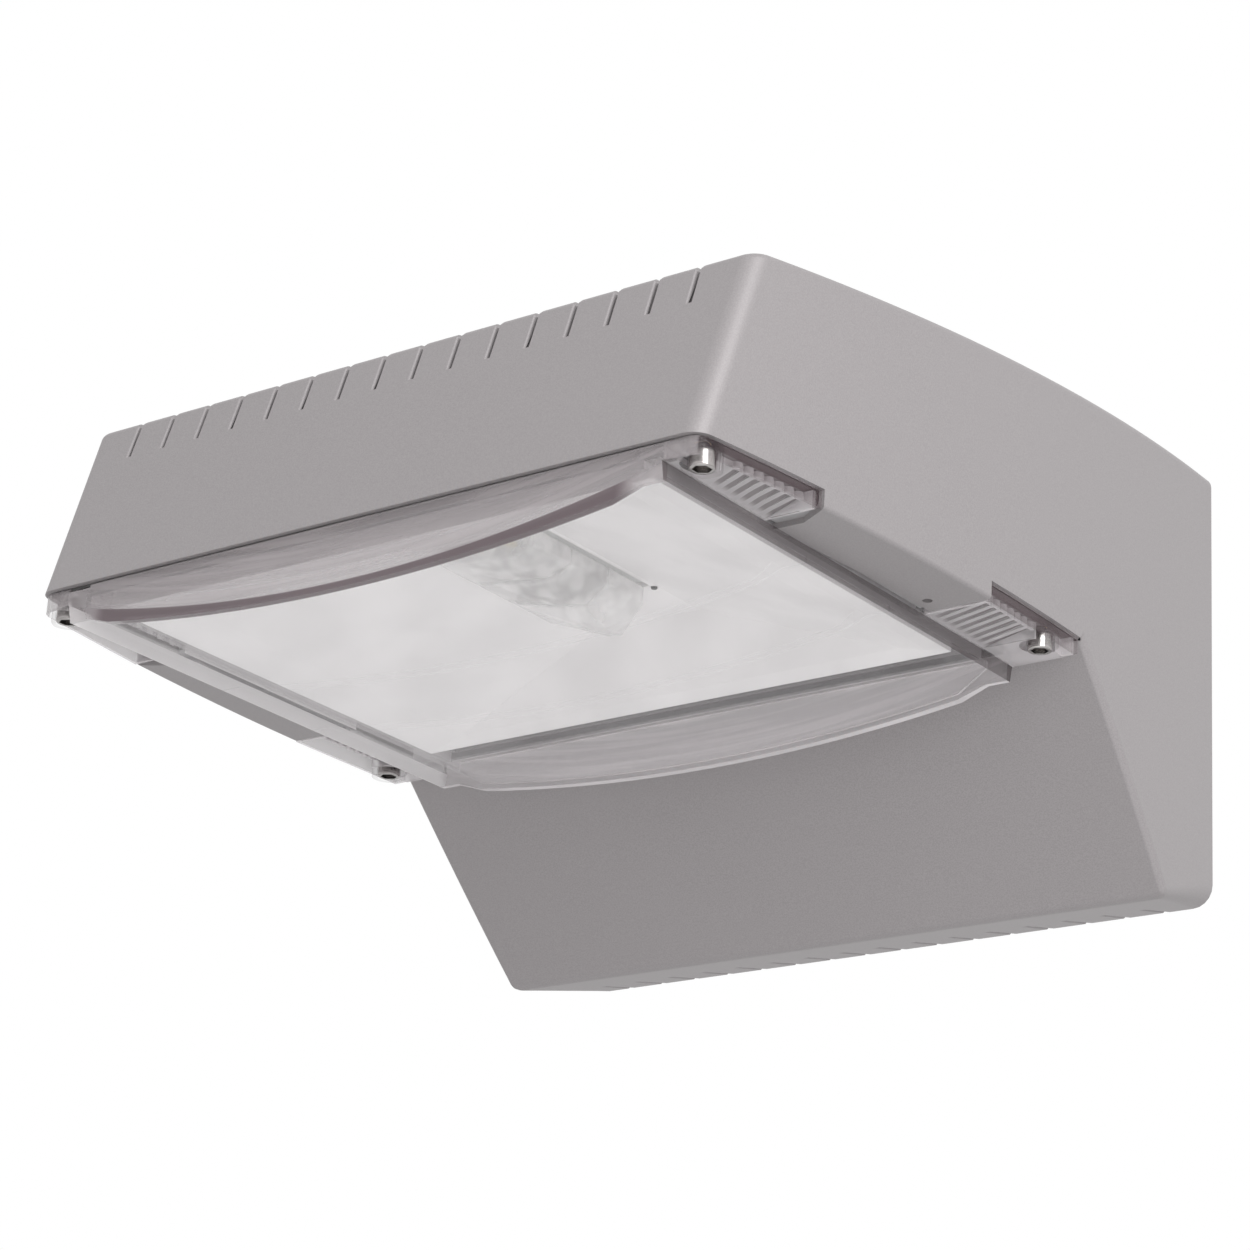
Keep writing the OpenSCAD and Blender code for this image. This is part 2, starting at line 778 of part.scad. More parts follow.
module driver_case() {
    color([0.86, 0.86, 0.85]) difference() {
        translate([driver_x0, driver_y0, driver_z + lid_t]) cube([driver_w, driver_len, driver_h - lid_t]);
        translate([driver_x0 + case_t, driver_y0 + case_t, driver_z + lid_t - eps])
            cube([driver_w - 2 * case_t, driver_len - 2 * case_t, driver_h - lid_t - case_t + eps]);
        for (p = ports) translate([driver_x1 - case_t - eps, p[0] - p[1] / 2, port_z - port_h / 2])
            cube([case_t + 2 * eps, p[1], port_h]);
    }
}

module driver_lid() {
    color([0.90, 0.90, 0.89]) translate([driver_x0, driver_y0, driver_z]) {
        cube([driver_w, driver_len, lid_t]);
        translate([case_t + 0.2, case_t + 0.2, 0])
            cube([6, driver_len - 2 * case_t - 0.4, lid_t + 1.5]);
    }
}

module driver_board() {
    x = driver_x0 + case_t + 0.5;
    y = driver_y0 + case_t + 0.5;
    w = driver_w - 2 * case_t - 1;
    l = driver_len - 2 * case_t - 1;
    top = roof_in - case_t;
    parts_z = top - driver_board_t;
    color([0.16, 0.36, 0.20]) {
        translate([x, y, parts_z]) cube([w, l, driver_board_t]);
        translate([x + w * 0.15, y + l * 0.55, parts_z - coil_h]) cube([w * 0.34, l * 0.25, coil_h]);
        translate([x + w * 0.72, y + l * 0.72, parts_z - big_can_h]) cylinder(h = big_can_h, r = big_can_r);
        translate([x + w * 0.60, y + l * 0.40, parts_z - coil_h]) cylinder(h = coil_h, r = small_can_r);
        translate([x + w * 0.20, y + l * 0.15, parts_z - relay_h]) cube([w * 0.3, l * 0.2, relay_h]);
        for (p = ports) translate([driver_x1 - 9, p[0] - p[1] / 2 + 0.4, parts_z - port_h - 0.1])
            cube([8.7, p[1] - 0.8, port_h - 0.4]);
    }
}

// Battery: a row of cells in two clips under the roof of the lamp base

function cell_x(i) = (i - (cell_count - 1) / 2) * cell_len;

module battery_cells() {
    color([0.16, 0.35, 0.62]) for (i = [0 : cell_count - 1])
        translate([cell_x(i) - cell_len / 2, battery_y, battery_z]) rotate([0, 90, 0]) {
            cylinder(h = cell_len - 1.6, r = cell_r);
            translate([0, 0, cell_len - 1.6 - eps]) cylinder(h = 1.5 + eps, r = cell_r / 3);
        }
}

module battery_clips() {
    color([0.92, 0.92, 0.90]) both_sides()
        translate([cell_len * cell_count / 4, battery_y, battery_z]) difference() {
            union() {
                translate([-clip_along / 2, 0, 0]) rotate([0, 90, 0])
                    cylinder(h = clip_along, r = cell_r + snug + clip_band);
                translate([-clip_along / 2, -9, cell_r / 2])
                    cube([clip_along, 18, roof_in - battery_z - cell_r / 2]);
            }
            translate([-clip_along, 0, 0]) rotate([0, 90, 0])
                cylinder(h = 2 * clip_along, r = cell_r + snug);
            translate([-clip_along, -2 * cell_r, -2 * cell_r]) cube([2 * clip_along, 4 * cell_r, 1.4 * cell_r]);
        }
}

module battery_plug() {
    color([0.93, 0.92, 0.88]) translate([driver_x1 + 0.1, port_battery - plug_w / 2, port_z - plug_h / 2])
        cube([plug_len, plug_w, plug_h]);
}

// Reflector: a shallow white pan, folded up to a flat top that carries the light source

module rect_at(x, y0, y1, z, h) {
    translate([-x, y0, z]) cube([2 * x, y1 - y0, h]);
}

// What lies under the pan's face, raised by t
module pan_form(t) {
    fold_x = pan_x - pan_strip_x;
    fold_y0 = pan_y0 + pan_strip_front;
    fold_y1 = pan_y1 - pan_strip_rear;
    sheet = 0.01;
    hull() {
        rect_at(pan_x, pan_y0, pan_y1, pan_rim_z - (t > 0 ? 0 : eps), t + (t > 0 ? 0 : eps));
        rect_at(fold_x, fold_y0, fold_y1, pan_fold_z + t - sheet, sheet);
    }
    hull() {
        rect_at(fold_x, fold_y0, fold_y1, pan_fold_z + t - 2 * sheet, sheet);
        rect_at(pan_top_x, pan_top_y0, pan_top_y1, pan_top_z + t - sheet, sheet);
    }
}

module reflector() {
    color([0.93, 0.93, 0.92]) difference() {
        union() {
            pan_form(pan_t);
            difference() {
                rect_at(pan_x, pan_y0, pan_y1, pan_rim_z, skirt_top - pan_rim_z);
                rect_at(pan_x - skirt_t, pan_y0 + skirt_t, pan_y1 - skirt_t, pan_rim_z - eps,
                    skirt_top - pan_rim_z + 2 * eps);
            }
        }
        pan_form(0);
        translate([-lens_w / 2 - 0.2, lens_y0 - 0.2, pan_top_z - eps])
            cube([lens_w + 0.4, lens_len + 0.4, pan_t + 2 * eps]);
        translate([light_x, light_y, pan_top_z - eps]) cylinder(h = pan_t + 2 * eps, r = light_r + 0.2);
    }
}

// Spring clips between the reflector's skirt and the walls of the lamp base
module reflector_clips() {
    gap = box_x - base_t - pan_x;
    color([0.95, 0.95, 0.95]) both_sides() for (y = clip_ys)
        translate([pan_x + snug, y - clip_w / 2, skirt_top - clip_h]) difference() {
            cube([gap - 2 * snug, clip_w, clip_h]);
            translate([0.8, -eps, -eps]) cube([gap - 1.7, clip_w + 2 * eps, clip_h - 0.8 + eps]);
        }
}

// Light source: heat sink, board, three chips and the lens block over them

function board_y0() = lens_y0 - board_margin;
function board_len() = lens_len + 2 * board_margin;

module heat_sink() {
    color([0.80, 0.81, 0.82]) translate([-board_x, board_y0(), sink_z]) {
        cube([2 * board_x, board_len(), sink_plate]);
        for (i = [0 : fin_count - 1])
            translate([i * (2 * board_x - fin_t) / (fin_count - 1), 0, 0]) cube([fin_t, board_len(), sink_h]);
    }
}

module led_board() {
    color([0.90, 0.91, 0.90]) translate([-board_x, board_y0(), board_z])
        cube([2 * board_x, board_len(), board_t]);
}

function cell_y(i) = lens_y0 + lens_cell * (i + 0.5);

module led_chips() {
    color([0.93, 0.86, 0.45]) for (i = [0 : lens_cells - 1])
        translate([-chip_w / 2, cell_y(i) - chip_w / 2, board_z - chip_h]) cube([chip_w, chip_w, chip_h]);
}

module led_lens() {
    color([0.85, 0.87, 0.88, 0.6]) difference() {
        union() {
            translate([-lens_w / 2, lens_y0, board_z - lens_plate]) cube([lens_w, lens_len, lens_plate - snug / 2]);
            for (i = [0 : lens_cells - 1]) intersection() {
                translate([0, cell_y(i), pan_top_z - lens_drop + lens_r]) sphere(lens_r);
                translate([-lens_w / 2, cell_y(i) - lens_cell / 2 + 0.4, pan_top_z - lens_drop - eps])
                    cube([lens_w, lens_cell - 0.8, lens_drop + 2 * eps]);
            }
        }
        for (i = [0 : lens_cells - 1]) translate([0, cell_y(i), board_z]) sphere(3.4);
    }
}

module indicator_light() {
    color([0.15, 0.25, 0.16]) translate([light_x, light_y, pan_top_z - 0.5])
        cylinder(h = board_z - pan_top_z + 0.5, r = light_r);
}

// Wires: round leads with round bends through a list of points

module lead(points, r) {
    for (i = [0 : len(points) - 2]) {
        d = points[i + 1] - points[i];
        l = norm(d);
        translate(points[i]) rotate([0, acos(d[2] / l), atan2(d[1], d[0])]) cylinder(h = l, r = r, $fn = 24);
        if (i > 0) translate(points[i]) sphere(r, $fn = 24);
    }
}

supply_run = [for (i = [0 : 2]) let (x = term_x(i), z = roof_in - term_h / 2, row = port_supply + wire_pitch * (1 - i))
    [[x, term_y + wire_in, z], [x, row, z], [driver_x1 + wire_out, row, z], [driver_x1 + wire_out, row, port_z],
    [driver_x1 - 0.2, row, port_z]]];
module supply_wires() {
    color([0.45, 0.28, 0.16]) for (p = supply_run) lead(p, wire_r);
}

battery_run = [for (i = [0, 1]) let (s = i == 0 ? 1 : -1, x = driver_x1 + 0.1 + plug_len,
    y = port_battery + 2 - 4 * i, z = port_z, out = battery_y + cell_r + 3.6 + 2.2 * i,
    e = cell_count * cell_len / 2 - 2)
    [[x + snug, y, z], [x + 7 - 3 * i, y, z], [x + 7 - 3 * i, out, z], [s * e, out, z],
    [s * e, out, battery_z], [s * e, battery_y + cell_r + snug, battery_z]]];
module battery_wires() {
    color([0.72, 0.12, 0.10]) for (p = battery_run) lead(p, wire_r);
}

led_run = [for (i = [-1, 1]) let (y = port_light + 2 * i, x = -board_x - 5, z = board_z + board_t / 2 + 0.5)
    [[driver_x1 - 0.2, y, port_z], [x, y, port_z], [x, y, z], [-board_x - snug, y, z]]];
module led_wires() {
    color([0.15, 0.15, 0.16]) for (p = led_run) lead(p, wire_r);
}

// Clear cover

// Outline of the flange: wide at the four corner blocks, drawn in at the tongues
module cover_plan() {
    difference() {
        union() {
            rounded_plan(cover_inset, cover_front, cover_rear, cover_corner);
            intersection() {
                rounded_plan(skin * 0.2, cover_front, cover_rear, cover_corner + 3);
                at_screws() circle(cover_boss_r);
            }
            both_sides() for (i = [0 : pocket_count - 1], p = pocket_places(i)) translate(p)
                circle(pocket_w / 2 + 1.2);
        }
        both_sides() translate([cover_waist, tongue_front - block_gap])
            square([housing_w, tongue_len + 2 * block_gap]);
    }
}

// Outer ends of the i-th pocket beside the front and the rear screw
function pocket_places(i) =
    let (yf = front_screw[1] + pocket_first + i * pocket_pitch, yr = rear_screw[1] - pocket_first - i * pocket_pitch)
    [[half_w(yf) - pocket_edge, yf], [half_w(yr) - pocket_edge, yr]];

// The bowed window as seen from the front, drawn in by t
module bow_outline(t, top) {
    intersection() {
        translate([0, bow_cz]) circle(bow_r - t, $fn = wide_fn);
        translate([-window_w - frame_w / 2 + t, frame_z - window_bow - eps])
            square([2 * (window_w + frame_w / 2 - t), top - frame_z + window_bow + eps]);
    }
}

// The bowed outline, carried from one depth to another
module bow_block(t, y0, y1, top) {
    translate([0, y1, 0]) rotate([90, 0, 0]) linear_extrude(y1 - y0) bow_outline(t, top);
}

module ring(x, y0, y1, w, z, h) {
    translate([0, 0, z]) linear_extrude(h) difference() {
        translate([-x - w / 2, y0 - w / 2]) square([2 * x + w, y1 - y0 + w]);
        translate([-x + w / 2, y0 + w / 2]) square([2 * x - w, y1 - y0 - w]);
    }
}

module clear_cover() {
    color([0.86, 0.84, 0.85, 0.45]) difference() {
        union() {
            translate([0, 0, flange_z]) linear_extrude(cover_flange) cover_plan();
            bow_block(0, cover_front, cover_rear, cover_top);
            both_sides() translate([window_w, cover_front, frame_z])
                cube([frame_w, cover_rear - cover_front, cover_top - frame_z]);
            intersection() {
                translate([0, 0, frame_z]) linear_extrude(cover_top - frame_z)
                    rounded_plan(skin * 0.2, cover_front, cover_rear, cover_corner + 3);
                at_screws() translate([0, 0, frame_z]) cylinder(h = cover_top - frame_z, r = cover_boss_r);
            }
        }
        bow_block(cover_t, cover_front + cover_t, cover_rear - cover_t, cover_top - 3);
        translate([-ledge_x + cover_t, ledge_front, cover_top - 4])
            cube([2 * (ledge_x - cover_t), ledge_rear - ledge_front, 4 + eps]);
        ring(groove_x, groove_front, groove_rear, groove_w, cover_top - groove_deep, groove_deep + eps);
        both_sides() for (i = [0 : pocket_count - 1], p = pocket_places(i)) {
            translate([p[0], p[1], flange_z + pocket_floor]) cylinder(h = cover_flange, r = pocket_w / 2);
            translate([p[0] - pocket_len + pocket_w, p[1], flange_z + pocket_floor])
                cylinder(h = cover_flange, r = pocket_w / 2);
            translate([p[0] - pocket_len + pocket_w, p[1] - pocket_w / 2, flange_z + pocket_floor])
                cube([pocket_len - pocket_w, pocket_w, cover_flange]);
        }
        at_screws() {
            translate([0, 0, frame_z - eps]) cylinder(h = web_z - frame_z + eps, r = screw_head_r + head_room);
            translate([0, 0, web_z - eps]) cylinder(h = 4, r = screw_r + shank_room);
        }
    }
}

module cover_seal() {
    color([0.2, 0.2, 0.21]) ring(groove_x, groove_front, groove_rear, groove_w - 0.2,
        cover_top - groove_deep + 0.02, groove_deep + cover_gap - 0.32);
}

module screw_seals() {
    color([0.1, 0.1, 0.1]) at_screws() translate([0, 0, web_z - seal_ring_h]) difference() {
        cylinder(h = seal_ring_h - 0.02, r = screw_head_r);
        translate([0, 0, -eps]) cylinder(h = seal_ring_h + 2 * eps, r = screw_r + shank_room);
    }
}

// A cover screw: a round head with a six-sided socket and a plain shank
module cover_screw(p) {
    color([0.78, 0.78, 0.80]) translate([p[0], p[1], screw_top]) difference() {
        union() {
            translate([0, 0, -screw_head_h]) cylinder(h = screw_head_h, r = screw_head_r);
            translate([0, 0, -eps]) cylinder(h = screw_len + eps, r = screw_r);
        }
        translate([0, 0, -screw_head_h - eps]) cylinder(h = screw_head_h * 0.6 + eps, r = screw_head_r * 0.6, $fn = 6);
    }
}
module cover_screw_front_right() {
    cover_screw(front_screw);
}
module cover_screw_front_left() {
    mirror([1, 0, 0]) cover_screw(front_screw);
}
module cover_screw_rear_right() {
    cover_screw(rear_screw);
}
module cover_screw_rear_left() {
    mirror([1, 0, 0]) cover_screw(rear_screw);
}

hood();
hood_lock_screws();
wall_plate();
wall_seal();
cable_grommet();
earth_stud();
support_arm_left();
support_arm_right();
arm_screws();
lamp_base();
thread_inserts();
cable_gland();
gland_seal();
gland_nut();
terminal_block();
terminal_screws();
driver_case();
driver_board();
driver_lid();
battery_cells();
battery_clips();
battery_plug();
reflector();
reflector_clips();
heat_sink();
led_board();
led_chips();
led_lens();
indicator_light();
supply_wires();
battery_wires();
led_wires();
clear_cover();
cover_seal();
screw_seals();
cover_screw_front_right();
cover_screw_front_left();
cover_screw_rear_right();
cover_screw_rear_left();
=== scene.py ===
"""Wall-mounted outdoor emergency light: hood, sealed lamp base, reflector and bowed clear cover."""
import json
import math

import bmesh
import bpy
from mathutils import Matrix, Vector


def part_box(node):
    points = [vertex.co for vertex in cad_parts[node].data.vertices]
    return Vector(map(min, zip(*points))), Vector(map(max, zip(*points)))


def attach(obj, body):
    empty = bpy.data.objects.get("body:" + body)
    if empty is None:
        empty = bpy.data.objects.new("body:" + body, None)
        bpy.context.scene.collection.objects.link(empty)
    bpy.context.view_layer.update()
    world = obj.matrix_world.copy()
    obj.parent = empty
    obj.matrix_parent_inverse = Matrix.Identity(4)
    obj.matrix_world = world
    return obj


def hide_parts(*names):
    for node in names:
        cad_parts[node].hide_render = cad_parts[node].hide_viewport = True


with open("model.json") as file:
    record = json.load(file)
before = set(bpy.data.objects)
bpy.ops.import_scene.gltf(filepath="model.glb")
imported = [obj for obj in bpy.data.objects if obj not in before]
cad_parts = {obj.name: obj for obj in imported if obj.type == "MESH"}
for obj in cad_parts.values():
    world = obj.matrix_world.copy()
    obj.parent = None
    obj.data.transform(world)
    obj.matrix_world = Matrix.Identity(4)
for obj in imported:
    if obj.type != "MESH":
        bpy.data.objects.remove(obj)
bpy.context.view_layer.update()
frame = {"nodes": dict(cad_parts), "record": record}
NODES = frame["nodes"]


# Places on the clear cover that its shape and its finish share

WINDOW_X, TUB_X, TUB_WIDE, TUB_DROP, BELLY_DROP = 0.109, 0.113, 0.0038, 0.0054, 0.0008
TUB_OUT = TUB_X + TUB_WIDE
COVER_FRONT, COVER_REAR = -0.2985, -0.1090
FLUTES = ((-0.2758, 0.00435, 7), (-0.1288, -0.0041, 8))
BLOCKS = ((-0.2840, -0.2480, 0.0034), (-0.1620, -0.1280, 0.0030))
LIPS = ((-0.2983, -0.2478), (-0.1622, -0.1094))
SCREWS_AT = ((0.125, -0.2905), (0.134, -0.121))


# Shader maths and finishes

class Value:
    """A number inside a material that takes Python's operators."""

    def __init__(self, finish, socket):
        self.finish = finish
        self.socket = socket

    def _math(self, operation, first, second):
        return self.finish.node("ShaderNodeMath", {"operation": operation}, first, second)

    def __add__(self, other):
        return self._math("ADD", self, other)

    def __radd__(self, other):
        return self._math("ADD", other, self)

    def __sub__(self, other):
        return self._math("SUBTRACT", self, other)

    def __rsub__(self, other):
        return self._math("SUBTRACT", other, self)

    def __mul__(self, other):
        return self._math("MULTIPLY", self, other)

    def __rmul__(self, other):
        return self._math("MULTIPLY", other, self)

    def __truediv__(self, other):
        return self._math("DIVIDE", self, other)

    def __rtruediv__(self, other):
        return self._math("DIVIDE", other, self)

    def __pow__(self, other):
        return self._math("POWER", self, other)

    def __rpow__(self, other):
        return self._math("POWER", other, self)

    def maximum(self, other):
        return self._math("MAXIMUM", self, other)

    def minimum(self, other):
        return self._math("MINIMUM", self, other)

    def size(self):
        return self._math("ABSOLUTE", self, None)

    def fraction(self):
        return self._math("FRACT", self, None)

    def step(self, low, high):
        """0 below low, 1 above high, smooth between them."""
        return self.finish.node("ShaderNodeMapRange", {"interpolation_type": "SMOOTHSTEP"},
                                self, low, high, 0.0, 1.0)


class Finish:
    """One procedural material, with its Principled shader."""

    def __init__(self, name, color, roughness=0.5, metallic=0.0, **constants):
        self.material = bpy.data.materials.new(name)
        self.material.use_nodes = True
        self.tree = self.material.node_tree
        self.shader = self.tree.nodes["Principled BSDF"]
        self.shader.inputs["Base Color"].default_value = (*color, 1.0)
        self.shader.inputs["Roughness"].default_value = roughness
        self.shader.inputs["Metallic"].default_value = metallic
        for key, value in constants.items():
            self.shader.inputs[key.replace("_", " ")].default_value = value

    def node(self, kind, settings, *values, output=0, **named):
        """Any node: its settings first, then the values or links of its sockets."""
        made = self.tree.nodes.new(kind)
        for key, value in settings.items():
            setattr(made, key, value)
        sockets = list(zip(made.inputs, values))
        sockets += [(made.inputs[key.replace("_", " ")], value) for key, value in named.items()]
        for socket, value in sockets:
            if value is None:
                continue
            if isinstance(value, Value):
                self.tree.links.new(value.socket, socket)
            else:
                socket.default_value = value
        return Value(self, made.outputs[output])

    def place(self, scale=(1.0, 1.0, 1.0)):
        """Object coordinates, stretched by scale."""
        spot = self.node("ShaderNodeTexCoord", {}, output="Object")
        return self.node("ShaderNodeMapping", {}, Vector=spot, Scale=scale)

    def parts(self, vector):
        """A vector as three values."""
        split = self.node("ShaderNodeSeparateXYZ", {}, vector)
        return [Value(self, socket) for socket in split.socket.node.outputs]

    def axes(self):
        """Object coordinates as three values."""
        return self.parts(self.place())

    def noise(self, scale, detail=2.0, roughness=0.5, stretch=(1.0, 1.0, 1.0)):
        return self.node("ShaderNodeTexNoise", {"noise_dimensions": "3D"}, Vector=self.place(stretch),
                         Scale=scale, Detail=detail, Roughness=roughness, output="Fac")

    def mix(self, factor, first, second):
        """A colour between two colours."""
        made = self.tree.nodes.new("ShaderNodeMix")
        made.data_type = "RGBA"
        for socket, value in ((made.inputs[0], factor), (made.inputs[6], first), (made.inputs[7], second)):
            if isinstance(value, Value):
                self.tree.links.new(value.socket, socket)
            elif isinstance(value, tuple) and len(value) == 3:
                socket.default_value = (*value, 1.0)
            else:
                socket.default_value = value
        return Value(self, made.outputs[2])

    def feed(self, socket, value):
        self.tree.links.new(value.socket, self.shader.inputs[socket])
        return self

    def relief(self, height, distance, strength=1.0, normal=None):
        """Bump from a height between 0 and 1, distance in metres."""
        bump = self.node("ShaderNodeBump", {}, Strength=strength, Distance=distance, Height=height,
                         Normal=normal)
        return self.feed("Normal", bump)

    def soft_edges(self, radius):
        """A normal that rounds the edges by a radius in metres."""
        return self.node("ShaderNodeBevel", {"samples": 6}, Radius=radius)


def shade(color, amount):
    """A colour made darker or brighter."""
    return tuple(c * amount for c in color)


def speckled_paint():
    """Silver powder coat: grey with a fine bright and dark grain."""
    base = (0.310, 0.291, 0.296)
    f = Finish("silver powder coat", base, 0.48, 0.25)
    grain = f.noise(2200.0, 2.0, 0.7)
    cloud = f.noise(9.0, 2.0, 0.5)
    tone = f.mix(grain.step(0.30, 0.70), shade(base, 0.90), shade(base, 1.10))
    tone = f.mix(cloud.step(0.3, 0.7) * 0.25, tone, shade(base, 1.05))
    f.feed("Base Color", tone)
    f.feed("Roughness", grain * 0.08 + 0.44)
    f.relief(f.noise(1300.0, 1.0), 0.00002, 0.35)
    return f.material


def clouded(f, color, roughness, grain, depth):
    """Faint clouding and a fine spark-eroded texture; returns the clouded colour."""
    cloud = f.noise(35.0, 3.0)
    f.feed("Roughness", cloud * 0.12 + (roughness - 0.06))
    f.relief(f.noise(grain, 2.0), depth, 0.6, f.soft_edges(0.0003))
    return f.mix(cloud.step(0.3, 0.7), shade(color, 0.94), shade(color, 1.05))


def moulded(name, color, roughness=0.45, grain=900.0, depth=0.00002):
    """Moulded plastic or rubber of one colour."""
    f = Finish(name, color, roughness)
    f.feed("Base Color", clouded(f, color, roughness, grain, depth))
    return f.material


def plain_metal(name, color, roughness=0.3, stretch=(1.0, 1.0, 30.0), metallic=1.0):
    """Bare or plated metal with fine drawn lines and worn spots."""
    f = Finish(name, color, roughness, metallic)
    lines = f.noise(400.0, 3.0, 0.6, stretch)
    spots = f.noise(60.0, 3.0)
    f.feed("Base Color", f.mix(spots.step(0.35, 0.7), shade(color, 0.88), shade(color, 1.04)))
    f.feed("Roughness", lines * 0.16 + (roughness - 0.08))
    f.relief(lines, 0.000006, 0.5, f.soft_edges(0.0003))
    return f.material


def rib_mask(x, y):
    """How far a spot lies out past the line of the cover's flutes, and whether a flute is there."""
    ahead = 1.0 - y.step(-0.2100, -0.2000)
    front_line = (y + 0.2795) * 0.125 + 0.12545
    rear_line = 0.1344
    past = x.size() - (ahead * front_line + (1.0 - ahead) * rear_line)
    row = 0.0
    for (first, pitch, _), share, low, high in zip(FLUTES, (ahead, 1.0 - ahead), (-0.2784, -0.1604),
                                                   (-0.2478, -0.1268)):
        turn = ((y - first) / abs(pitch) + 0.5).fraction() - 0.5
        length = share * y.step(low, low + 0.0004) * (1.0 - y.step(high, high + 0.0004))
        row = row + length * (1.0 - turn.size().step(0.24, 0.32))
    return past, row * (1.0 - past.step(0.0002, 0.0008)) * x.size().step(0.1160, 0.1210)


def cover_plastic():
    """Thin clear plastic with a faint pink tint: see-through face on, milky at its edges and blocks, with light
    and shade painted into its tone and its opacity.
    """
    # pale is the plastic's own tint; grey is painted shade on the outer side walls and in the flutes; bead is a
    # painted dark line along the belly's front edge.
    pale, grey, painted_edge_shade = (0.80, 0.765, 0.78), (0.13, 0.113, 0.117), (0.12, 0.09, 0.10)
    # These three are painted light and shade: blush darkens the front wall, brown is painted shade on the
    # right-hand lips and in the screw wells, bright is painted light on the lower left-hand walls.
    painted_front_shade, brown, bright = (0.42, 0.385, 0.395), (0.16, 0.12, 0.13), (0.95, 0.93, 0.935)
    f = Finish("clear cover moulding", pale, 0.06, 0.0, IOR=1.49)
    x, y, z = f.axes()
    edge_on = f.node("ShaderNodeLayerWeight", {}, 0.35, output="Facing")
    faces = f.parts(f.node("ShaderNodeNewGeometry", {}, output="Normal"))
    behind = f.node("ShaderNodeNewGeometry", {}, output="Backfacing")
    upright = 1.0 - faces[2].size().step(0.3, 0.6)
    sideways = faces[0].size().step(0.5, 0.7)
    side = x.size()
    left = 1.0 - x.step(-0.01, 0.01)
    front = 1.0 - y.step(COVER_FRONT + 0.0020, COVER_FRONT + 0.0030)
    rear = y.step(COVER_REAR - 0.0035, COVER_REAR - 0.0025)
    block = side.step(TUB_OUT + 0.0002, TUB_OUT + 0.0008)
    frame_band = side.step(WINDOW_X - 0.0002, WINDOW_X + 0.0002) * (1.0 - block)
    # Outer faces of the side walls, which are given painted shade.
    outside = frame_band * side.step(TUB_X + 0.0010, TUB_X + 0.0020) * (1.0 - behind)
    # Painted light: the lower left-hand walls are made paler and more opaque than the right-hand ones.
    painted_lit_left_wall = frame_band * sideways * left * (1.0 - z.step(-0.0262, -0.0240))
    past, row = rib_mask(x, y)
    # The flutes get painted shade: a grey tone and more opacity.
    flute = row * (1.0 - upright)
    lip = past.step(0.0048, 0.0054)
    # Round the screws: painted brown shade in the wells, which are kept clearer than the blocks.
    well = 0.0
    for at_x, at_y in SCREWS_AT:
        away = ((side - at_x) ** 2.0 + (y - at_y) ** 2.0) ** 0.5
        well = 1.0 - away.step(0.00628, 0.00652) + well
    well = well.minimum(1.0)
    # A painted dark band along the belly's front edge, darker and more opaque than the rest.
    arc = -0.0420 + x * x * 0.94
    rim = front * (1.0 - (z - arc).step(0.0020, 0.0025)) * (1.0 - side.step(0.100, 0.111))
    # Painted streaks of light and shade running along the front and rear walls.
    drawn = f.node("ShaderNodeCombineXYZ", {}, x * 0.25, 0.0, (z - arc) * 7.0)
    painted_streaks = f.node("ShaderNodeTexNoise", {}, Vector=drawn, Scale=55.0, Detail=1.0, output="Fac")
    painted_streaks = painted_streaks.step(0.40, 0.64)
    # The front and rear walls' milkiness with the painted streaks in it; the front wall's darker tone is
    # painted shade.
    walls = (front * (0.34 + painted_streaks * 0.16) + rear * (0.46 + painted_streaks * 0.26)) * (1.0 - block)
    bars = frame_band * (0.04 + sideways * 0.5) + painted_lit_left_wall * 0.40
    lines = 0.0
    for line_y in (-0.226, -0.181):
        lines = 1.0 - (y - line_y).size().step(0.0002, 0.0005) + lines
    belly = (1.0 - block) * (1.0 - z.step(-0.0300, -0.0290)) * lines * 0.16
    # The blocks' milkiness; their lips are painted paler on the left, and clearer and shaded brown on the
    # right.
    corners = block * (1.0 - well) * (0.34 - lip * 0.24 + lip * left * 0.34)
    milk = 0.05 + edge_on ** 3.0 * 0.5 + corners + bars + walls + flute * 0.55 + belly
    # Painted light and shade in the tone: a darker front wall, shade on the outer side walls and in the flutes,
    # brown shade on the right-hand lips and in the screw wells, paler lower left-hand walls.
    tone = f.mix(front, pale, painted_front_shade)
    tone = f.mix((outside * sideways + flute * 0.9).minimum(1.0), tone, grey)
    tone = f.mix(lip * (1.0 - left), tone, brown)
    tone = f.mix(painted_lit_left_wall, tone, bright)
    tone = f.mix(well, tone, brown)
    f.feed("Base Color", f.mix(rim, tone, painted_edge_shade))
    f.feed("Alpha", (milk + rim * 0.8).minimum(0.95))
    return f.material


def sealed_box():
    """The lamp base: grey moulding, with a painted shadow where it lies out in the gap beside the cover."""
    color, dark = (0.30, 0.29, 0.295), (0.065, 0.048, 0.052)
    f = Finish("grey base moulding", color, 0.45)
    x, y, z = f.axes()
    # Painted shadow: the base is darkened out past the line of the flutes, in its lower part.
    gap = rib_mask(x, y)[0].step(0.0005, 0.0020) * (1.0 - z.step(-0.012, -0.010))
    f.feed("Base Color", f.mix(gap, clouded(f, color, 0.45, 900.0, 0.00002), dark))
    return f.material


def lens_plastic():
    """Clear lens moulding seen against the white reflector: see-through with grey edges."""
    tone = (0.90, 0.89, 0.888)
    f = Finish("clear lens moulding", tone, 0.08, 0.0, IOR=1.49)
    edge_on = f.node("ShaderNodeLayerWeight", {}, 0.45, output="Facing")
    cloud = f.noise(130.0, 1.0).step(0.4, 0.7)
    f.feed("Alpha", (0.22 + edge_on * 0.30 + cloud * 0.26).minimum(0.9))
    return f.material


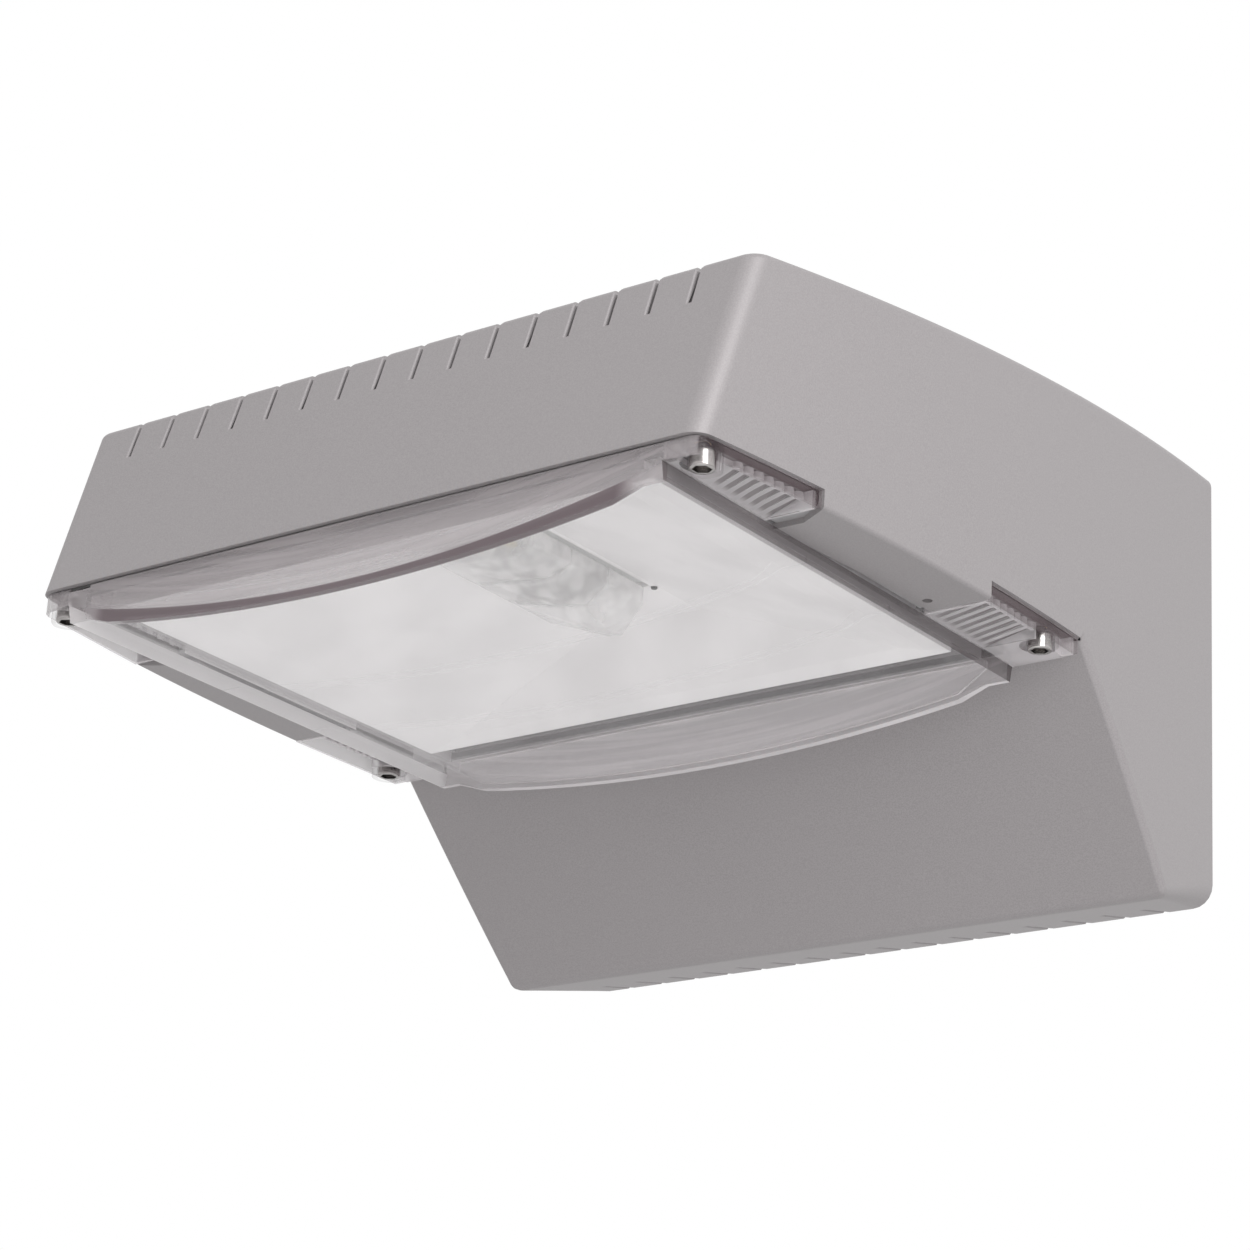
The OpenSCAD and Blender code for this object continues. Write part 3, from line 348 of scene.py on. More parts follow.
FINISHES = {
    "hood_paint": speckled_paint(),
    "dark_screws": plain_metal("blackened steel", (0.05, 0.05, 0.055), 0.4),
    "zinc_sheet": plain_metal("zinc plated sheet", (0.60, 0.61, 0.62), 0.35),
    "seal_rubber": moulded("seal rubber", (0.022, 0.022, 0.023), 0.7, 1500.0, 0.00004),
    "brass": plain_metal("brass", (0.72, 0.50, 0.20), 0.28),
    "steel_screws": plain_metal("zinc plated steel", (0.62, 0.62, 0.64), 0.25),
    "base_plastic": sealed_box(),
    "gland_plastic": moulded("black moulded plastic", (0.03, 0.03, 0.032), 0.4),
    "white_plastic": moulded("white moulded plastic", (0.74, 0.73, 0.70), 0.4),
    "green_board": moulded("green solder resist", (0.02, 0.12, 0.04), 0.25),
    "battery_sleeve": moulded("blue shrink sleeve", (0.02, 0.08, 0.26), 0.3),
    "reflector_white": moulded("satin white moulding", (0.835, 0.82, 0.822), 0.35, 300.0, 0.00001),
    "heat_sink_metal": plain_metal("extruded aluminium", (0.72, 0.73, 0.74), 0.3, (1.0, 20.0, 1.0)),
    "white_board": moulded("white solder resist", (0.78, 0.79, 0.78), 0.25),
    "chip_yellow": moulded("phosphor", (0.80, 0.62, 0.12), 0.3),
    "lens_clear": lens_plastic(),
    "indicator_green": moulded("dark indicator window", (0.02, 0.03, 0.025), 0.2),
    "supply_insulation": moulded("brown insulation", (0.12, 0.045, 0.02), 0.4),
    "battery_insulation": moulded("red insulation", (0.40, 0.02, 0.015), 0.4),
    "light_insulation": moulded("black insulation", (0.02, 0.02, 0.022), 0.4),
    "cover_clear": cover_plastic(),
    "cover_screw_steel": plain_metal("bright screw steel", (0.50, 0.48, 0.47), 0.18),
}

for part in frame["record"]["subparts"]:
    obj = NODES[part["node"]]
    obj.data.materials.clear()
    obj.data.materials.append(FINISHES[part["material_slot"]])


# Modelling: small helpers round Blender's own operators

def alone(piece):
    """Makes a piece the only selected object."""
    bpy.ops.object.select_all(action="DESELECT")
    piece.select_set(True)
    bpy.context.view_layer.objects.active = piece
    return piece


def begin(name, add, **settings):
    """A named primitive at its size and place, with its transform in its mesh."""
    bpy.ops.object.select_all(action="DESELECT")
    add(**settings)
    piece = bpy.context.object
    piece.name = name
    piece.data.name = name
    bpy.ops.object.transform_apply(location=True, rotation=True, scale=True)
    return piece


def block(name, low, high):
    """A box between two corners."""
    middle = [(a + b) / 2 for a, b in zip(low, high)]
    return begin(name, bpy.ops.mesh.primitive_cube_add, size=1.0, location=middle,
                 scale=[b - a for a, b in zip(low, high)])


def copy_of(node, name):
    """A loose copy of a CAD node's mesh, with its triangles merged into faces."""
    piece = bpy.data.objects.new(name, NODES[node].data.copy())
    bpy.context.scene.collection.objects.link(piece)
    open_up(piece)
    bpy.ops.mesh.select_all(action="SELECT")
    bpy.ops.mesh.remove_doubles(threshold=1e-6)
    bpy.ops.mesh.dissolve_limited(angle_limit=math.radians(0.5))
    close_up()
    return piece


def pick(piece, kind, wanted):
    """In edit mode, selects just the verts, edges or faces for which wanted is true."""
    bpy.ops.mesh.select_mode(type={"verts": "VERT", "edges": "EDGE", "faces": "FACE"}[kind])
    bpy.ops.mesh.select_all(action="DESELECT")
    mesh = bmesh.from_edit_mesh(piece.data)
    found = 0
    for element in getattr(mesh, kind):
        if wanted(element):
            element.select_set(True)
            found += 1
    mesh.select_flush_mode()
    bmesh.update_edit_mesh(piece.data)
    return found


def middle_of(element):
    """The middle of an edge or a face."""
    points = [v.co for v in element.verts]
    return sum(points, Vector()) / len(points)


def open_up(piece):
    """Enters edit mode on one piece."""
    alone(piece)
    bpy.ops.object.mode_set(mode="EDIT")


def close_up():
    """Leaves edit mode."""
    bpy.ops.object.mode_set(mode="OBJECT")


def cut(point, normal):
    """Cuts new edges right across the piece in edit mode."""
    bpy.ops.mesh.select_all(action="SELECT")
    bpy.ops.mesh.bisect(plane_co=point, plane_no=normal, use_fill=False)


def shift(x=0.0, y=0.0, z=0.0):
    """Moves what is selected."""
    bpy.ops.transform.translate(value=(x, y, z))


def stretch(x, y, z, about):
    """Scales what is selected about a point."""
    bpy.ops.transform.resize(value=(x, y, z), center_override=about)


def extend(x=0.0, y=0.0, z=0.0):
    """Extrudes what is selected."""
    bpy.ops.mesh.extrude_region_move(TRANSFORM_OT_translate={"value": (x, y, z)})


def finish_with(piece, kind, **settings):
    """Adds a modifier and applies it."""
    alone(piece)
    modifier = piece.modifiers.new(kind.lower(), kind)
    for key, value in settings.items():
        setattr(modifier, key, value)
    bpy.ops.object.modifier_apply(modifier=modifier.name)
    return piece


def weigh(piece, weight):
    """Gives each edge its bevel weight."""
    layer = piece.data.attributes.new("bevel_weight_edge", "FLOAT", "EDGE")
    mesh = bmesh.new()
    mesh.from_mesh(piece.data)
    values = [weight(edge) for edge in mesh.edges]
    mesh.free()
    for index, value in enumerate(values):
        layer.data[index].value = value


def carve(piece, cutter, operation="DIFFERENCE"):
    """Cuts one piece with another and removes the cutter."""
    finish_with(piece, "BOOLEAN", object=cutter, operation=operation, solver="EXACT")
    bpy.data.objects.remove(cutter)
    return piece


def joined(pieces):
    """Joins pieces into the first of them."""
    alone(pieces[0])
    for piece in pieces[1:]:
        piece.select_set(True)
    bpy.ops.object.join()
    return pieces[0]


def smooth(piece, angle=32.0):
    """Shades a piece smooth, except over edges sharper than an angle in degrees."""
    alone(piece)
    bpy.ops.object.shade_smooth_by_angle(angle=math.radians(angle))
    return piece


def level(piece):
    """Evens the shading of flat faces beside rounded edges."""
    return finish_with(piece, "WEIGHTED_NORMAL", mode="FACE_AREA", weight=80, keep_sharp=True)


def dress(piece, node, *more):
    """Puts a finished piece in place of CAD nodes, on their body and in their finish."""
    slot = next(p["material_slot"] for p in frame["record"]["subparts"] if p["node"] == node)
    body = next(b for b, names in frame["record"]["behaviour"]["bodies"].items() if node in names)
    piece.data.materials.clear()
    piece.data.materials.append(FINISHES[slot])
    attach(piece, body)
    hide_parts(node, *more)
    return piece


# Hood

WALL = 0.002
HALF_WIDTH = 0.130
HEAD_Z = -0.020
FRONT_Y, TOP_Y, CHIN_Y, FOOT_Y = -0.300, -0.280, -0.106, -0.042
TOP_Z, REAR_Z, FOOT_Z = 0.044, 0.078, -0.087
SIDE_R = (0.150 ** 2 + 0.012 ** 2) / 0.024
SIDE_CX = 0.142 - SIDE_R
ROOF = math.atan2(REAR_Z - TOP_Z, -TOP_Y)
LEAN = math.atan2(TOP_Y - FRONT_Y, TOP_Z - HEAD_Z)
CORNER_R, BEVEL_MAX = 0.0065, 0.009
TONGUE_FRONT, TONGUE_REAR, TONGUE_Z, LEDGE = -0.247, -0.163, -0.026, 0.022
LOCK_X, LOCK_Y, LOCK_R = 0.124, -0.171, 0.0016


def half_width(y):
    """Half the hood's width at a depth."""
    return SIDE_CX + math.sqrt(SIDE_R ** 2 - (y + 0.150) ** 2)


def roof_radius(y):
    """The roof's long edges are tight at the front and softer towards the wall."""
    return 0.0023 + 0.0018 * min(max((y - TOP_Y) / -TOP_Y, 0.0), 1.0) ** 1.3


def foot_radius(y):
    """The lower edges open out from the foot to the wall."""
    return 0.0026 + 0.0048 * min(max((y - FOOT_Y) / -FOOT_Y, 0.0), 1.0) ** 0.8


def profile(inset):
    """The side view's corners, with every sheet moved in by inset; the open edges stay in their planes."""
    def sheet(start, end):
        way = (Vector(end) - Vector(start)).normalized()
        return Vector(start) + Vector((way.y, -way.x)) * inset, way

    def meet(a, b):
        away = b[0] - a[0]
        return a[0] + a[1] * (away.cross(b[1]) / a[1].cross(b[1]))

    head = (Vector((0.0, HEAD_Z)), Vector((1.0, 0.0)))
    wall = (Vector((0.0, 0.0)), Vector((0.0, 1.0)))
    front = sheet((FRONT_Y, HEAD_Z), (TOP_Y, TOP_Z))
    roof = sheet((TOP_Y, TOP_Z), (0.0, REAR_Z))
    bottom = sheet((0.0, -REAR_Z), (FOOT_Y, FOOT_Z))
    slant = sheet((FOOT_Y, FOOT_Z), (CHIN_Y, HEAD_Z))
    return (meet(head, front), meet(front, roof), meet(roof, wall), meet(wall, bottom),
            meet(bottom, slant), meet(slant, head))


def bowed_block(name, inset):
    """One face of the hood's sheet, cut at stations and bowed."""
    front, top, rear, low, foot, chin = profile(inset)
    hood = block(name, (-HALF_WIDTH, front.x, HEAD_Z), (HALF_WIDTH, 0.0, rear.y))
    open_up(hood)
    pick(hood, "verts", lambda v: v.co.y < front.x + 1e-4 and v.co.z > 0.0)
    shift(y=top.x - front.x, z=top.y - rear.y)
    for y in (chin.x, foot.x):
        cut((0.0, y, 0.0), (0.0, 1.0, 0.0))
    for y, z in ((foot.x, foot.y), (0.0, low.y)):
        pick(hood, "verts", lambda v: abs(v.co.y - y) < 1e-5 and v.co.z < 0.0)
        shift(z=z - HEAD_Z)
    fan = ((-0.283, -0.263), (-0.271, -0.253), (-0.259, -0.243), (-0.247, -0.233), (-0.233, -0.222),
           (-0.219, -0.211), (-0.205, -0.199), (-0.191, -0.187), (-0.177, -0.175), (-0.163, -0.163),
           (-0.149, -0.149), (-0.135, -0.135), (-0.121, -0.121))
    for below, above in fan:
        cut((0.0, below, HEAD_Z), (0.0, TOP_Z - HEAD_Z, below - above))
    upright = (-0.095, -0.084, -0.073, -0.062, -0.052, -0.032, -0.025, -0.018, -0.012, -0.006)
    for y in upright:
        cut((0.0, y, 0.0), (0.0, 1.0, 0.0))
    mesh = bmesh.from_edit_mesh(hood.data)
    for y in sorted({round(v.co.y, 6) for v in mesh.verts}):
        pick(hood, "verts", lambda v: abs(v.co.y - y) < 2e-6)
        stretch((half_width(y) - inset) / HALF_WIDTH, 1.0, 1.0, (0.0, y, 0.0))

    def open_side(f):
        under_head = f.normal.z < -0.999 and middle_of(f).z < HEAD_Z + 1e-5 and middle_of(f).y < chin.x
        return f.normal.y > 0.99 or under_head
    pick(hood, "faces", open_side)
    bpy.ops.mesh.delete(type="FACE")
    return hood


def front_corners(hood, radius):
    """Rounds the two leaning front corners."""
    pick(hood, "edges", lambda e: max(v.co.y for v in e.verts) < TOP_Y + 0.0025
         and abs(e.verts[0].co.z - e.verts[1].co.z) > 0.01)
    bpy.ops.mesh.bevel(offset=0.85 * radius, offset_type="OFFSET", segments=10, affect="EDGES",
                       clamp_overlap=False)


def fold_tongues(hood, inset):
    """Carries the side walls on down between the blocks and folds them in under the lamp base."""
    def wall_foot(e):
        ys = [v.co.y for v in e.verts]
        return (max(v.co.z for v in e.verts) < HEAD_Z + 1e-5 and abs(e.verts[0].co.x - e.verts[1].co.x) < 0.01
                and min(ys) > TONGUE_FRONT - 1e-4 and max(ys) < TONGUE_REAR + 1e-4 and len(e.link_faces) == 1)
    pick(hood, "edges", wall_foot)
    extend(z=TONGUE_Z - HEAD_Z + inset)
    low = TONGUE_Z + inset + 1e-4
    for side in (-1.0, 1.0):
        pick(hood, "edges", lambda e: abs(e.verts[0].co.z - e.verts[1].co.z) < 1e-5
             and all(v.co.z < low and v.co.x * side > 0.0 and v.co.y < TONGUE_REAR + 0.003 for v in e.verts))
        extend(x=-side * (LEDGE / 2 - inset))
        extend(x=-side * LEDGE / 2)
    for x_in in (LEDGE / 2, LEDGE):
        outer = half_width(TONGUE_FRONT)
        pick(hood, "verts", lambda v: v.co.z < low and abs(v.co.y - TONGUE_FRONT) < 1e-5
             and abs(v.co.x) < outer - x_in + 0.001)
        shift(y=0.006)
    bpy.ops.mesh.select_all(action="SELECT")
    bpy.ops.mesh.normals_make_consistent(inside=False)


def hood_radius(edge):
    """The outside rounding of an edge of the hood."""
    spot = middle_of(edge)
    faces = edge.link_faces
    if len(faces) < 2:
        return 0.0
    a, b = faces[0].normal, faces[1].normal
    if a.angle(b) < math.radians(40.0):
        return 0.0
    if spot.z < TONGUE_Z + 0.0025 and spot.y < CHIN_Y:
        return 0.0014
    if max(a.z, b.z) > 0.9:
        return roof_radius(spot.y)
    runs_back = abs(edge.verts[0].co.y - edge.verts[1].co.y) > 1e-4
    if spot.z < HEAD_Z and spot.y > FOOT_Y - 0.004 and runs_back:
        return foot_radius(spot.y)
    if spot.z < HEAD_Z and spot.y > CHIN_Y:
        return 0.0024
    return 0.0


def hood_sheet(name, inset):
    """The sheet's outer or inner face with all its roundings."""
    hood = bowed_block(name, inset)
    front_corners(hood, CORNER_R - inset)
    fold_tongues(hood, inset)
    close_up()
    weigh(hood, lambda e: max(hood_radius(e) - inset, min(hood_radius(e), 0.0003)) / BEVEL_MAX)
    return finish_with(hood, "BEVEL", limit_method="WEIGHT", width=BEVEL_MAX, segments=5, offset_type="OFFSET",
                       use_clamp_overlap=False, loop_slide=False)


VENT_COUNT, VENT_PITCH, VENT_LEN, VENT_W = 16, 0.015, 0.015, 0.0012
EDGE_R = roof_radius(TOP_Y)


def flare(name, y, z, tilt):
    """The section of a vent's flared mouth, open in edit mode: its outward side points along tilt."""
    out_y, out_z = math.cos(tilt), math.sin(tilt)
    cutter = begin(name, bpy.ops.mesh.primitive_plane_add, size=0.0011,
                   location=(0.0, y - 0.0018 * out_y, z - 0.0018 * out_z), rotation=(tilt, 0.0, 0.0))
    open_up(cutter)
    depth, half = -0.00125, 0.00055
    for next_depth, next_half in ((-0.00074, 0.00066), (-0.00035, 0.00082), (-0.00009, 0.00105),
                                  (0.00003, 0.0014), (0.0010, 0.0014)):
        pick(cutter, "edges", lambda e: all((v.co.y - y) * out_y + (v.co.z - z) * out_z > depth - 1e-6
                                            for v in e.verts))
        extend(y=(next_depth - depth) * out_y, z=(next_depth - depth) * out_z)
        stretch(next_half / half, 1.0, 1.0, (0.0, y, z))
        depth, half = next_depth, next_half
    bpy.ops.mesh.select_all(action="SELECT")
    return cutter


def row_of(cutter):
    """Repeats a cutter that is open in edit mode across the hood."""
    bpy.ops.mesh.select_all(action="SELECT")
    bpy.ops.mesh.normals_make_consistent(inside=False)
    shift(x=-(VENT_COUNT - 1) / 2 * VENT_PITCH)
    close_up()
    return finish_with(cutter, "ARRAY", count=VENT_COUNT, use_relative_offset=False,
                       use_constant_offset=True, constant_offset_displace=(VENT_PITCH, 0.0, 0.0))


def slot_box(name, y, z, tilt, back, ahead):
    """A vent's straight cutter, from back to ahead along the direction square to tilt."""
    along = tilt - math.pi / 2
    out, way = (math.cos(tilt), math.sin(tilt)), (math.cos(along), math.sin(along))
    deep, mid = 0.0055, (ahead + back) / 2
    box = begin(name, bpy.ops.mesh.primitive_cube_add, size=1.0, rotation=(along, 0.0, 0.0),
                location=(0.0, y + mid * way[0] - 0.00175 * out[0], z + mid * way[1] - 0.00175 * out[1]),
                scale=(VENT_W, ahead - back, deep))
    open_up(box)
    return row_of(box)


def front_flares():
    """The mouths over the top front edge, carried up the face, round the edge and back on the roof."""
    up, out = math.pi / 2 - LEAN, math.pi - LEAN
    turn = up - ROOF
    tangent = EDGE_R * math.tan(turn / 2)
    y, z = TOP_Y - VENT_LEN * math.cos(up), TOP_Z - VENT_LEN * math.sin(up)
    cutter = flare("mouth_cutter", y, z, out)
    extend(y=(VENT_LEN - tangent) * math.cos(up), z=(VENT_LEN - tangent) * math.sin(up))
    hub = (0.0, TOP_Y - tangent * math.cos(up) - EDGE_R * math.cos(out),
           TOP_Z - tangent * math.sin(up) - EDGE_R * math.sin(out))
    bpy.ops.mesh.spin(steps=8, angle=turn, center=hub, axis=(1.0, 0.0, 0.0))
    extend(y=(VENT_LEN - tangent) * math.cos(ROOF), z=(VENT_LEN - tangent) * math.sin(ROOF))
    return row_of(cutter)


def edge_notches():
    """The rounded notches that the vents leave in the top front edge."""
    cutter = begin("notch_cutter", bpy.ops.mesh.primitive_plane_add, size=0.0014,
                   rotation=(math.pi / 2, 0.0, 0.0), location=(0.0, TOP_Y - 0.0035, TOP_Z - 0.0030))
    open_up(cutter)
    depth, half = -0.0023, 0.0007
    for next_depth, next_half in ((-0.0018, 0.0013), (-0.0012, 0.0016), (-0.0005, 0.0018),
                                  (-0.0002, 0.0021), (0.00005, 0.0025), (0.0020, 0.0025)):
        pick(cutter, "edges", lambda e: all(v.co.z > TOP_Z + depth - 1e-5 for v in e.verts))
        extend(z=next_depth - depth)
        stretch(next_half / half, 1.0, 1.0, (0.0, TOP_Y, TOP_Z))
        depth, half = next_depth, next_half
    bpy.ops.mesh.select_all(action="SELECT")
    extend(y=0.0110, z=0.0110 * math.tan(ROOF))
    return row_of(cutter)


def drain_flares():
    """The mouths of the drain slots in the bottom face, open at the wall."""
    slope = math.atan2(-REAR_Z - FOOT_Z, -FOOT_Y)
    cutter = flare("drain_cutter", -0.017, -REAR_Z - 0.017 * math.tan(slope), slope - math.pi / 2)
    extend(y=0.019 * math.cos(slope), z=0.019 * math.sin(slope))
    return row_of(cutter)


def build_hood():
    """The sheet between its outer and its inner face, with its slots, notches and holes cut."""
    hood = hood_sheet("hood_shell", 0.0)
    lining = hood_sheet("hood_lining", WALL)
    open_up(lining)
    bpy.ops.mesh.select_all(action="SELECT")
    bpy.ops.mesh.flip_normals()
    close_up()
    alone(hood)
    lining.select_set(True)
    bpy.ops.object.join()
    open_up(hood)
    pick(hood, "verts", lambda v: v.co.y > -0.0005)
    stretch(1.0, 0.0, 1.0, (0.0, 0.0, 0.0))
    pick(hood, "edges", lambda e: len(e.link_faces) == 1 and middle_of(e).y > -0.0005)
    bpy.ops.mesh.bridge_edge_loops()
    pick(hood, "edges", lambda e: len(e.link_faces) == 1)
    bpy.ops.mesh.bridge_edge_loops()
    close_up()
    carve(hood, slot_box("front_slots", TOP_Y, TOP_Z, math.pi - LEAN, -VENT_LEN, 0.001))
    carve(hood, slot_box("roof_slots", TOP_Y, TOP_Z, math.pi / 2 + ROOF, -0.001, VENT_LEN))
    carve(hood, front_flares())
    carve(hood, edge_notches())
    slope = math.atan2(-REAR_Z - FOOT_Z, -FOOT_Y)
    carve(hood, slot_box("drain_slots", 0.0, -REAR_Z, slope - math.pi / 2, -0.002, 0.017))
    carve(hood, drain_flares())
    for side in (-1.0, 1.0):
        carve(hood, begin("lock_hole", bpy.ops.mesh.primitive_cylinder_add, vertices=24, radius=LOCK_R,
                          depth=0.0060, location=(side * LOCK_X, LOCK_Y, TONGUE_Z + 0.0010)))
    smooth(hood)
    level(hood)
    return dress(hood, "hood")


# Clear cover

FLANGE_TOP, FLANGE_LOW = -0.0206, -0.0260


def rib_line(y):
    """Where the outer ends of the flutes lie."""
    return half_width(y) - 0.0075


def flank(side, ends, inner, outer, low, high, low_rise, high_rise):
    """A prism on one block's side, out to a distance off the flutes' line, its outer edges raised."""
    near, far = sorted((side * 0.100, side * 0.200))
    piece = block("flank", (near, ends[0], low), (far, ends[1], high))
    open_up(piece)
    pick(piece, "verts", lambda v: abs(v.co.x) > 0.150 and v.co.z < low + 1e-6)
    shift(z=low_rise)
    pick(piece, "verts", lambda v: abs(v.co.x) > 0.150 and v.co.z > high - 1e-6)
    shift(z=high_rise)
    for y in ends:
        for x, wanted in ((0.100, inner), (0.200, rib_line(y) + outer)):
            pick(piece, "verts", lambda v: abs(abs(v.co.x) - x) < 1e-5 and abs(v.co.y - y) < 1e-5)
            shift(x=side * (wanted - x))
    close_up()
    return piece


def knob(side, y, radius, low):
    """The round outer end of a flute."""
    high = FLANGE_TOP - 0.0001
    return begin("knob", bpy.ops.mesh.primitive_cylinder_add, vertices=20, radius=radius, depth=high - low,
                 location=(side * rib_line(y), y, (low + high) / 2))


def flute_blocks():
    """The corner blocks' sloped undersides, with a row of flutes in each that end in round knobs."""
    combs = joined([flank(side, (front, rear), TUB_OUT + 0.0002, 0.0008, FLANGE_LOW, FLANGE_TOP - 0.0001,
                          rise, 0.0) for side in (-1.0, 1.0) for front, rear, rise in BLOCKS])
    places = [(side, first + i * pitch, abs(pitch), rise) for side in (-1.0, 1.0)
              for (first, pitch, count), (front, rear, rise) in zip(FLUTES, BLOCKS) for i in range(count)]
    knobs = [knob(side, y, 0.46 * pitch, FLANGE_LOW - 0.0002 + rise) for side, y, pitch, rise in places]
    grooves = [flank(side, (y - 0.27 * pitch, y + 0.27 * pitch), 0.1190, 0.0004, -0.0300, FLANGE_LOW + 0.0004,
                     0.0, rise + 0.0004) for side, y, pitch, rise in places]
    carve(combs, joined(knobs), "UNION")
    return carve(combs, joined(grooves))


def corner_lip(side, front, rear):
    """A thin clear wall round the outside of a corner block, flush with the hood."""
    walls = []
    for edge, reach, low, high, radius in ((0.0, TUB_OUT + 0.0004, FLANGE_LOW, -0.0204, 0.0050),
                                           (0.0012, 0.1100, -0.0300, -0.0190, 0.0038)):
        def front_corner(e):
            return (min(abs(v.co.x) for v in e.verts) > 0.120 and abs(e.verts[0].co.z - e.verts[1].co.z) > 0.001
                    and max(v.co.y for v in e.verts) < front + edge + 1e-5)
        wall = flank(side, (front + edge, rear - edge), reach, 0.0072 - edge, low, high, 0.0, 0.0)
        if front == LIPS[0][0]:
            open_up(wall)
            pick(wall, "edges", front_corner)
            bpy.ops.mesh.bevel(offset=radius, segments=6, affect="EDGES")
            close_up()
        walls.append(wall)
    return carve(*walls)


def build_cover():
    """The cover with its window set lower in straight side walls."""
    cover = copy_of("clear_cover", "clear_cover_shell")
    carve(cover, block("pry_notch", (-0.128, -0.301, -0.0216), (-0.108, -0.2960, -0.0190)))
    for side in (-1.0, 1.0):
        for front, rear, _ in BLOCKS:
            near, far = sorted((side * (TUB_OUT + 0.0005), side * 0.1450))
            carve(cover, block("gap", (near, front, -0.0300), (far, rear, -0.0190)))
    open_up(cover)
    mesh = bmesh.from_edit_mesh(cover.data)
    below = FLANGE_LOW - 0.0005
    rows = sorted({round(abs(v.co.x), 5) for v in mesh.verts if v.co.z < below and abs(v.co.x) < TUB_X + 1e-4})
    for x in rows:
        pick(cover, "verts", lambda v: v.co.z < below and abs(abs(v.co.x) - x) < 6e-6)
        shift(z=-BELLY_DROP - (TUB_DROP - BELLY_DROP) * min(x / WINDOW_X, 1.0) ** 2)
    for side in (-1.0, 1.0):
        pick(cover, "verts", lambda v: abs(v.co.x - side * TUB_X) < 5e-5 and v.co.z < FLANGE_LOW + 0.0005)
        shift(x=side * TUB_WIDE)
    for end, back in ((COVER_FRONT + 0.0005, 0.0012), (COVER_REAR - 0.0005, -0.0012)):
        pick(cover, "verts", lambda v: WINDOW_X - 1e-4 < abs(v.co.x) < TUB_OUT + 0.0004
             and v.co.z < FLANGE_LOW - 0.0015 and (v.co.y - end) * back < 0.0)
        shift(y=back, z=0.0018)

    def tub_corner(e):
        first, second = (v.co for v in e.verts)
        at_end = middle_of(e).y < COVER_FRONT + 0.0045 or middle_of(e).y > COVER_REAR - 0.003
        return (at_end and all(TUB_OUT - 0.0006 < abs(v.x) < TUB_OUT + 0.0004 for v in (first, second))
                and abs(first.y - second.y) < 0.002 and abs(first.z - second.z) > 0.003)
    pick(cover, "edges", tub_corner)
    bpy.ops.mesh.bevel(offset=0.0032, segments=5, affect="EDGES", clamp_overlap=True)
    close_up()
    joined([cover, flute_blocks()] + [corner_lip(side, front, rear) for side in (-1.0, 1.0)
                                      for front, rear in LIPS])
    finish_with(cover, "BEVEL", limit_method="ANGLE", angle_limit=math.radians(50.0), width=0.0004,
                segments=2, offset_type="OFFSET", use_clamp_overlap=True)
    smooth(cover)
    level(cover)
    return dress(cover, "clear_cover")


# Lens block

LENS_X, LENS_FRONT, CELL_LEN, LENS_ROOT = 0.019, -0.234, 0.0193, -0.0030


def build_lens():
    """Three freeform cells in one clear block, each taller than the one before it."""
    cells = []
    for i, low in enumerate((-0.0135, -0.0160, -0.0190)):
        y0 = LENS_FRONT + i * CELL_LEN
        y1 = y0 + CELL_LEN
        cell = block("lens_cell", (-LENS_X, y0, LENS_ROOT - 0.006), (LENS_X, y1, LENS_ROOT))
        open_up(cell)
        for x in (-0.009, 0.0055, 0.0110):
            cut((x, 0.0, 0.0), (1.0, 0.0, 0.0))
        for y in (y0 + 0.3 * CELL_LEN, y0 + 0.7 * CELL_LEN):
            cut((0.0, y, 0.0), (0.0, 1.0, 0.0))
        falls = ((y0, 0.55), (y0 + 0.3 * CELL_LEN, 0.95), (y0 + 0.7 * CELL_LEN, 1.0), (y1, 0.62 + 0.18 * i))
        for x, share in ((-0.009, 0.35), (0.0055, 0.92), (0.0110, 1.0)):
            for y, fall in falls:
                pick(cell, "verts", lambda v: v.co.z < LENS_ROOT - 0.005 and abs(v.co.x - x) < 1e-5
                     and abs(v.co.y - y) < 1e-5)
                shift(z=(low - LENS_ROOT + 0.006) * share * fall)
        close_up()
        finish_with(cell, "BEVEL", limit_method="ANGLE", angle_limit=math.radians(22.0), width=0.0009,
                    segments=3, use_clamp_overlap=True)
        cells.append(cell)
    lens = joined(cells)
    lens.name = lens.data.name = "lens_cells"
    smooth(lens, 24.0)
    return dress(lens, "led_lens")


# Cover screws

HEAD_R, HEAD_LOW, HEAD_TOP, HEAD_EDGE = 0.0039, -0.0277, -0.0222, 0.0004
KEY_R, SHANK_R, SHANK_TIP = 0.0030, 0.0020, 0.0005


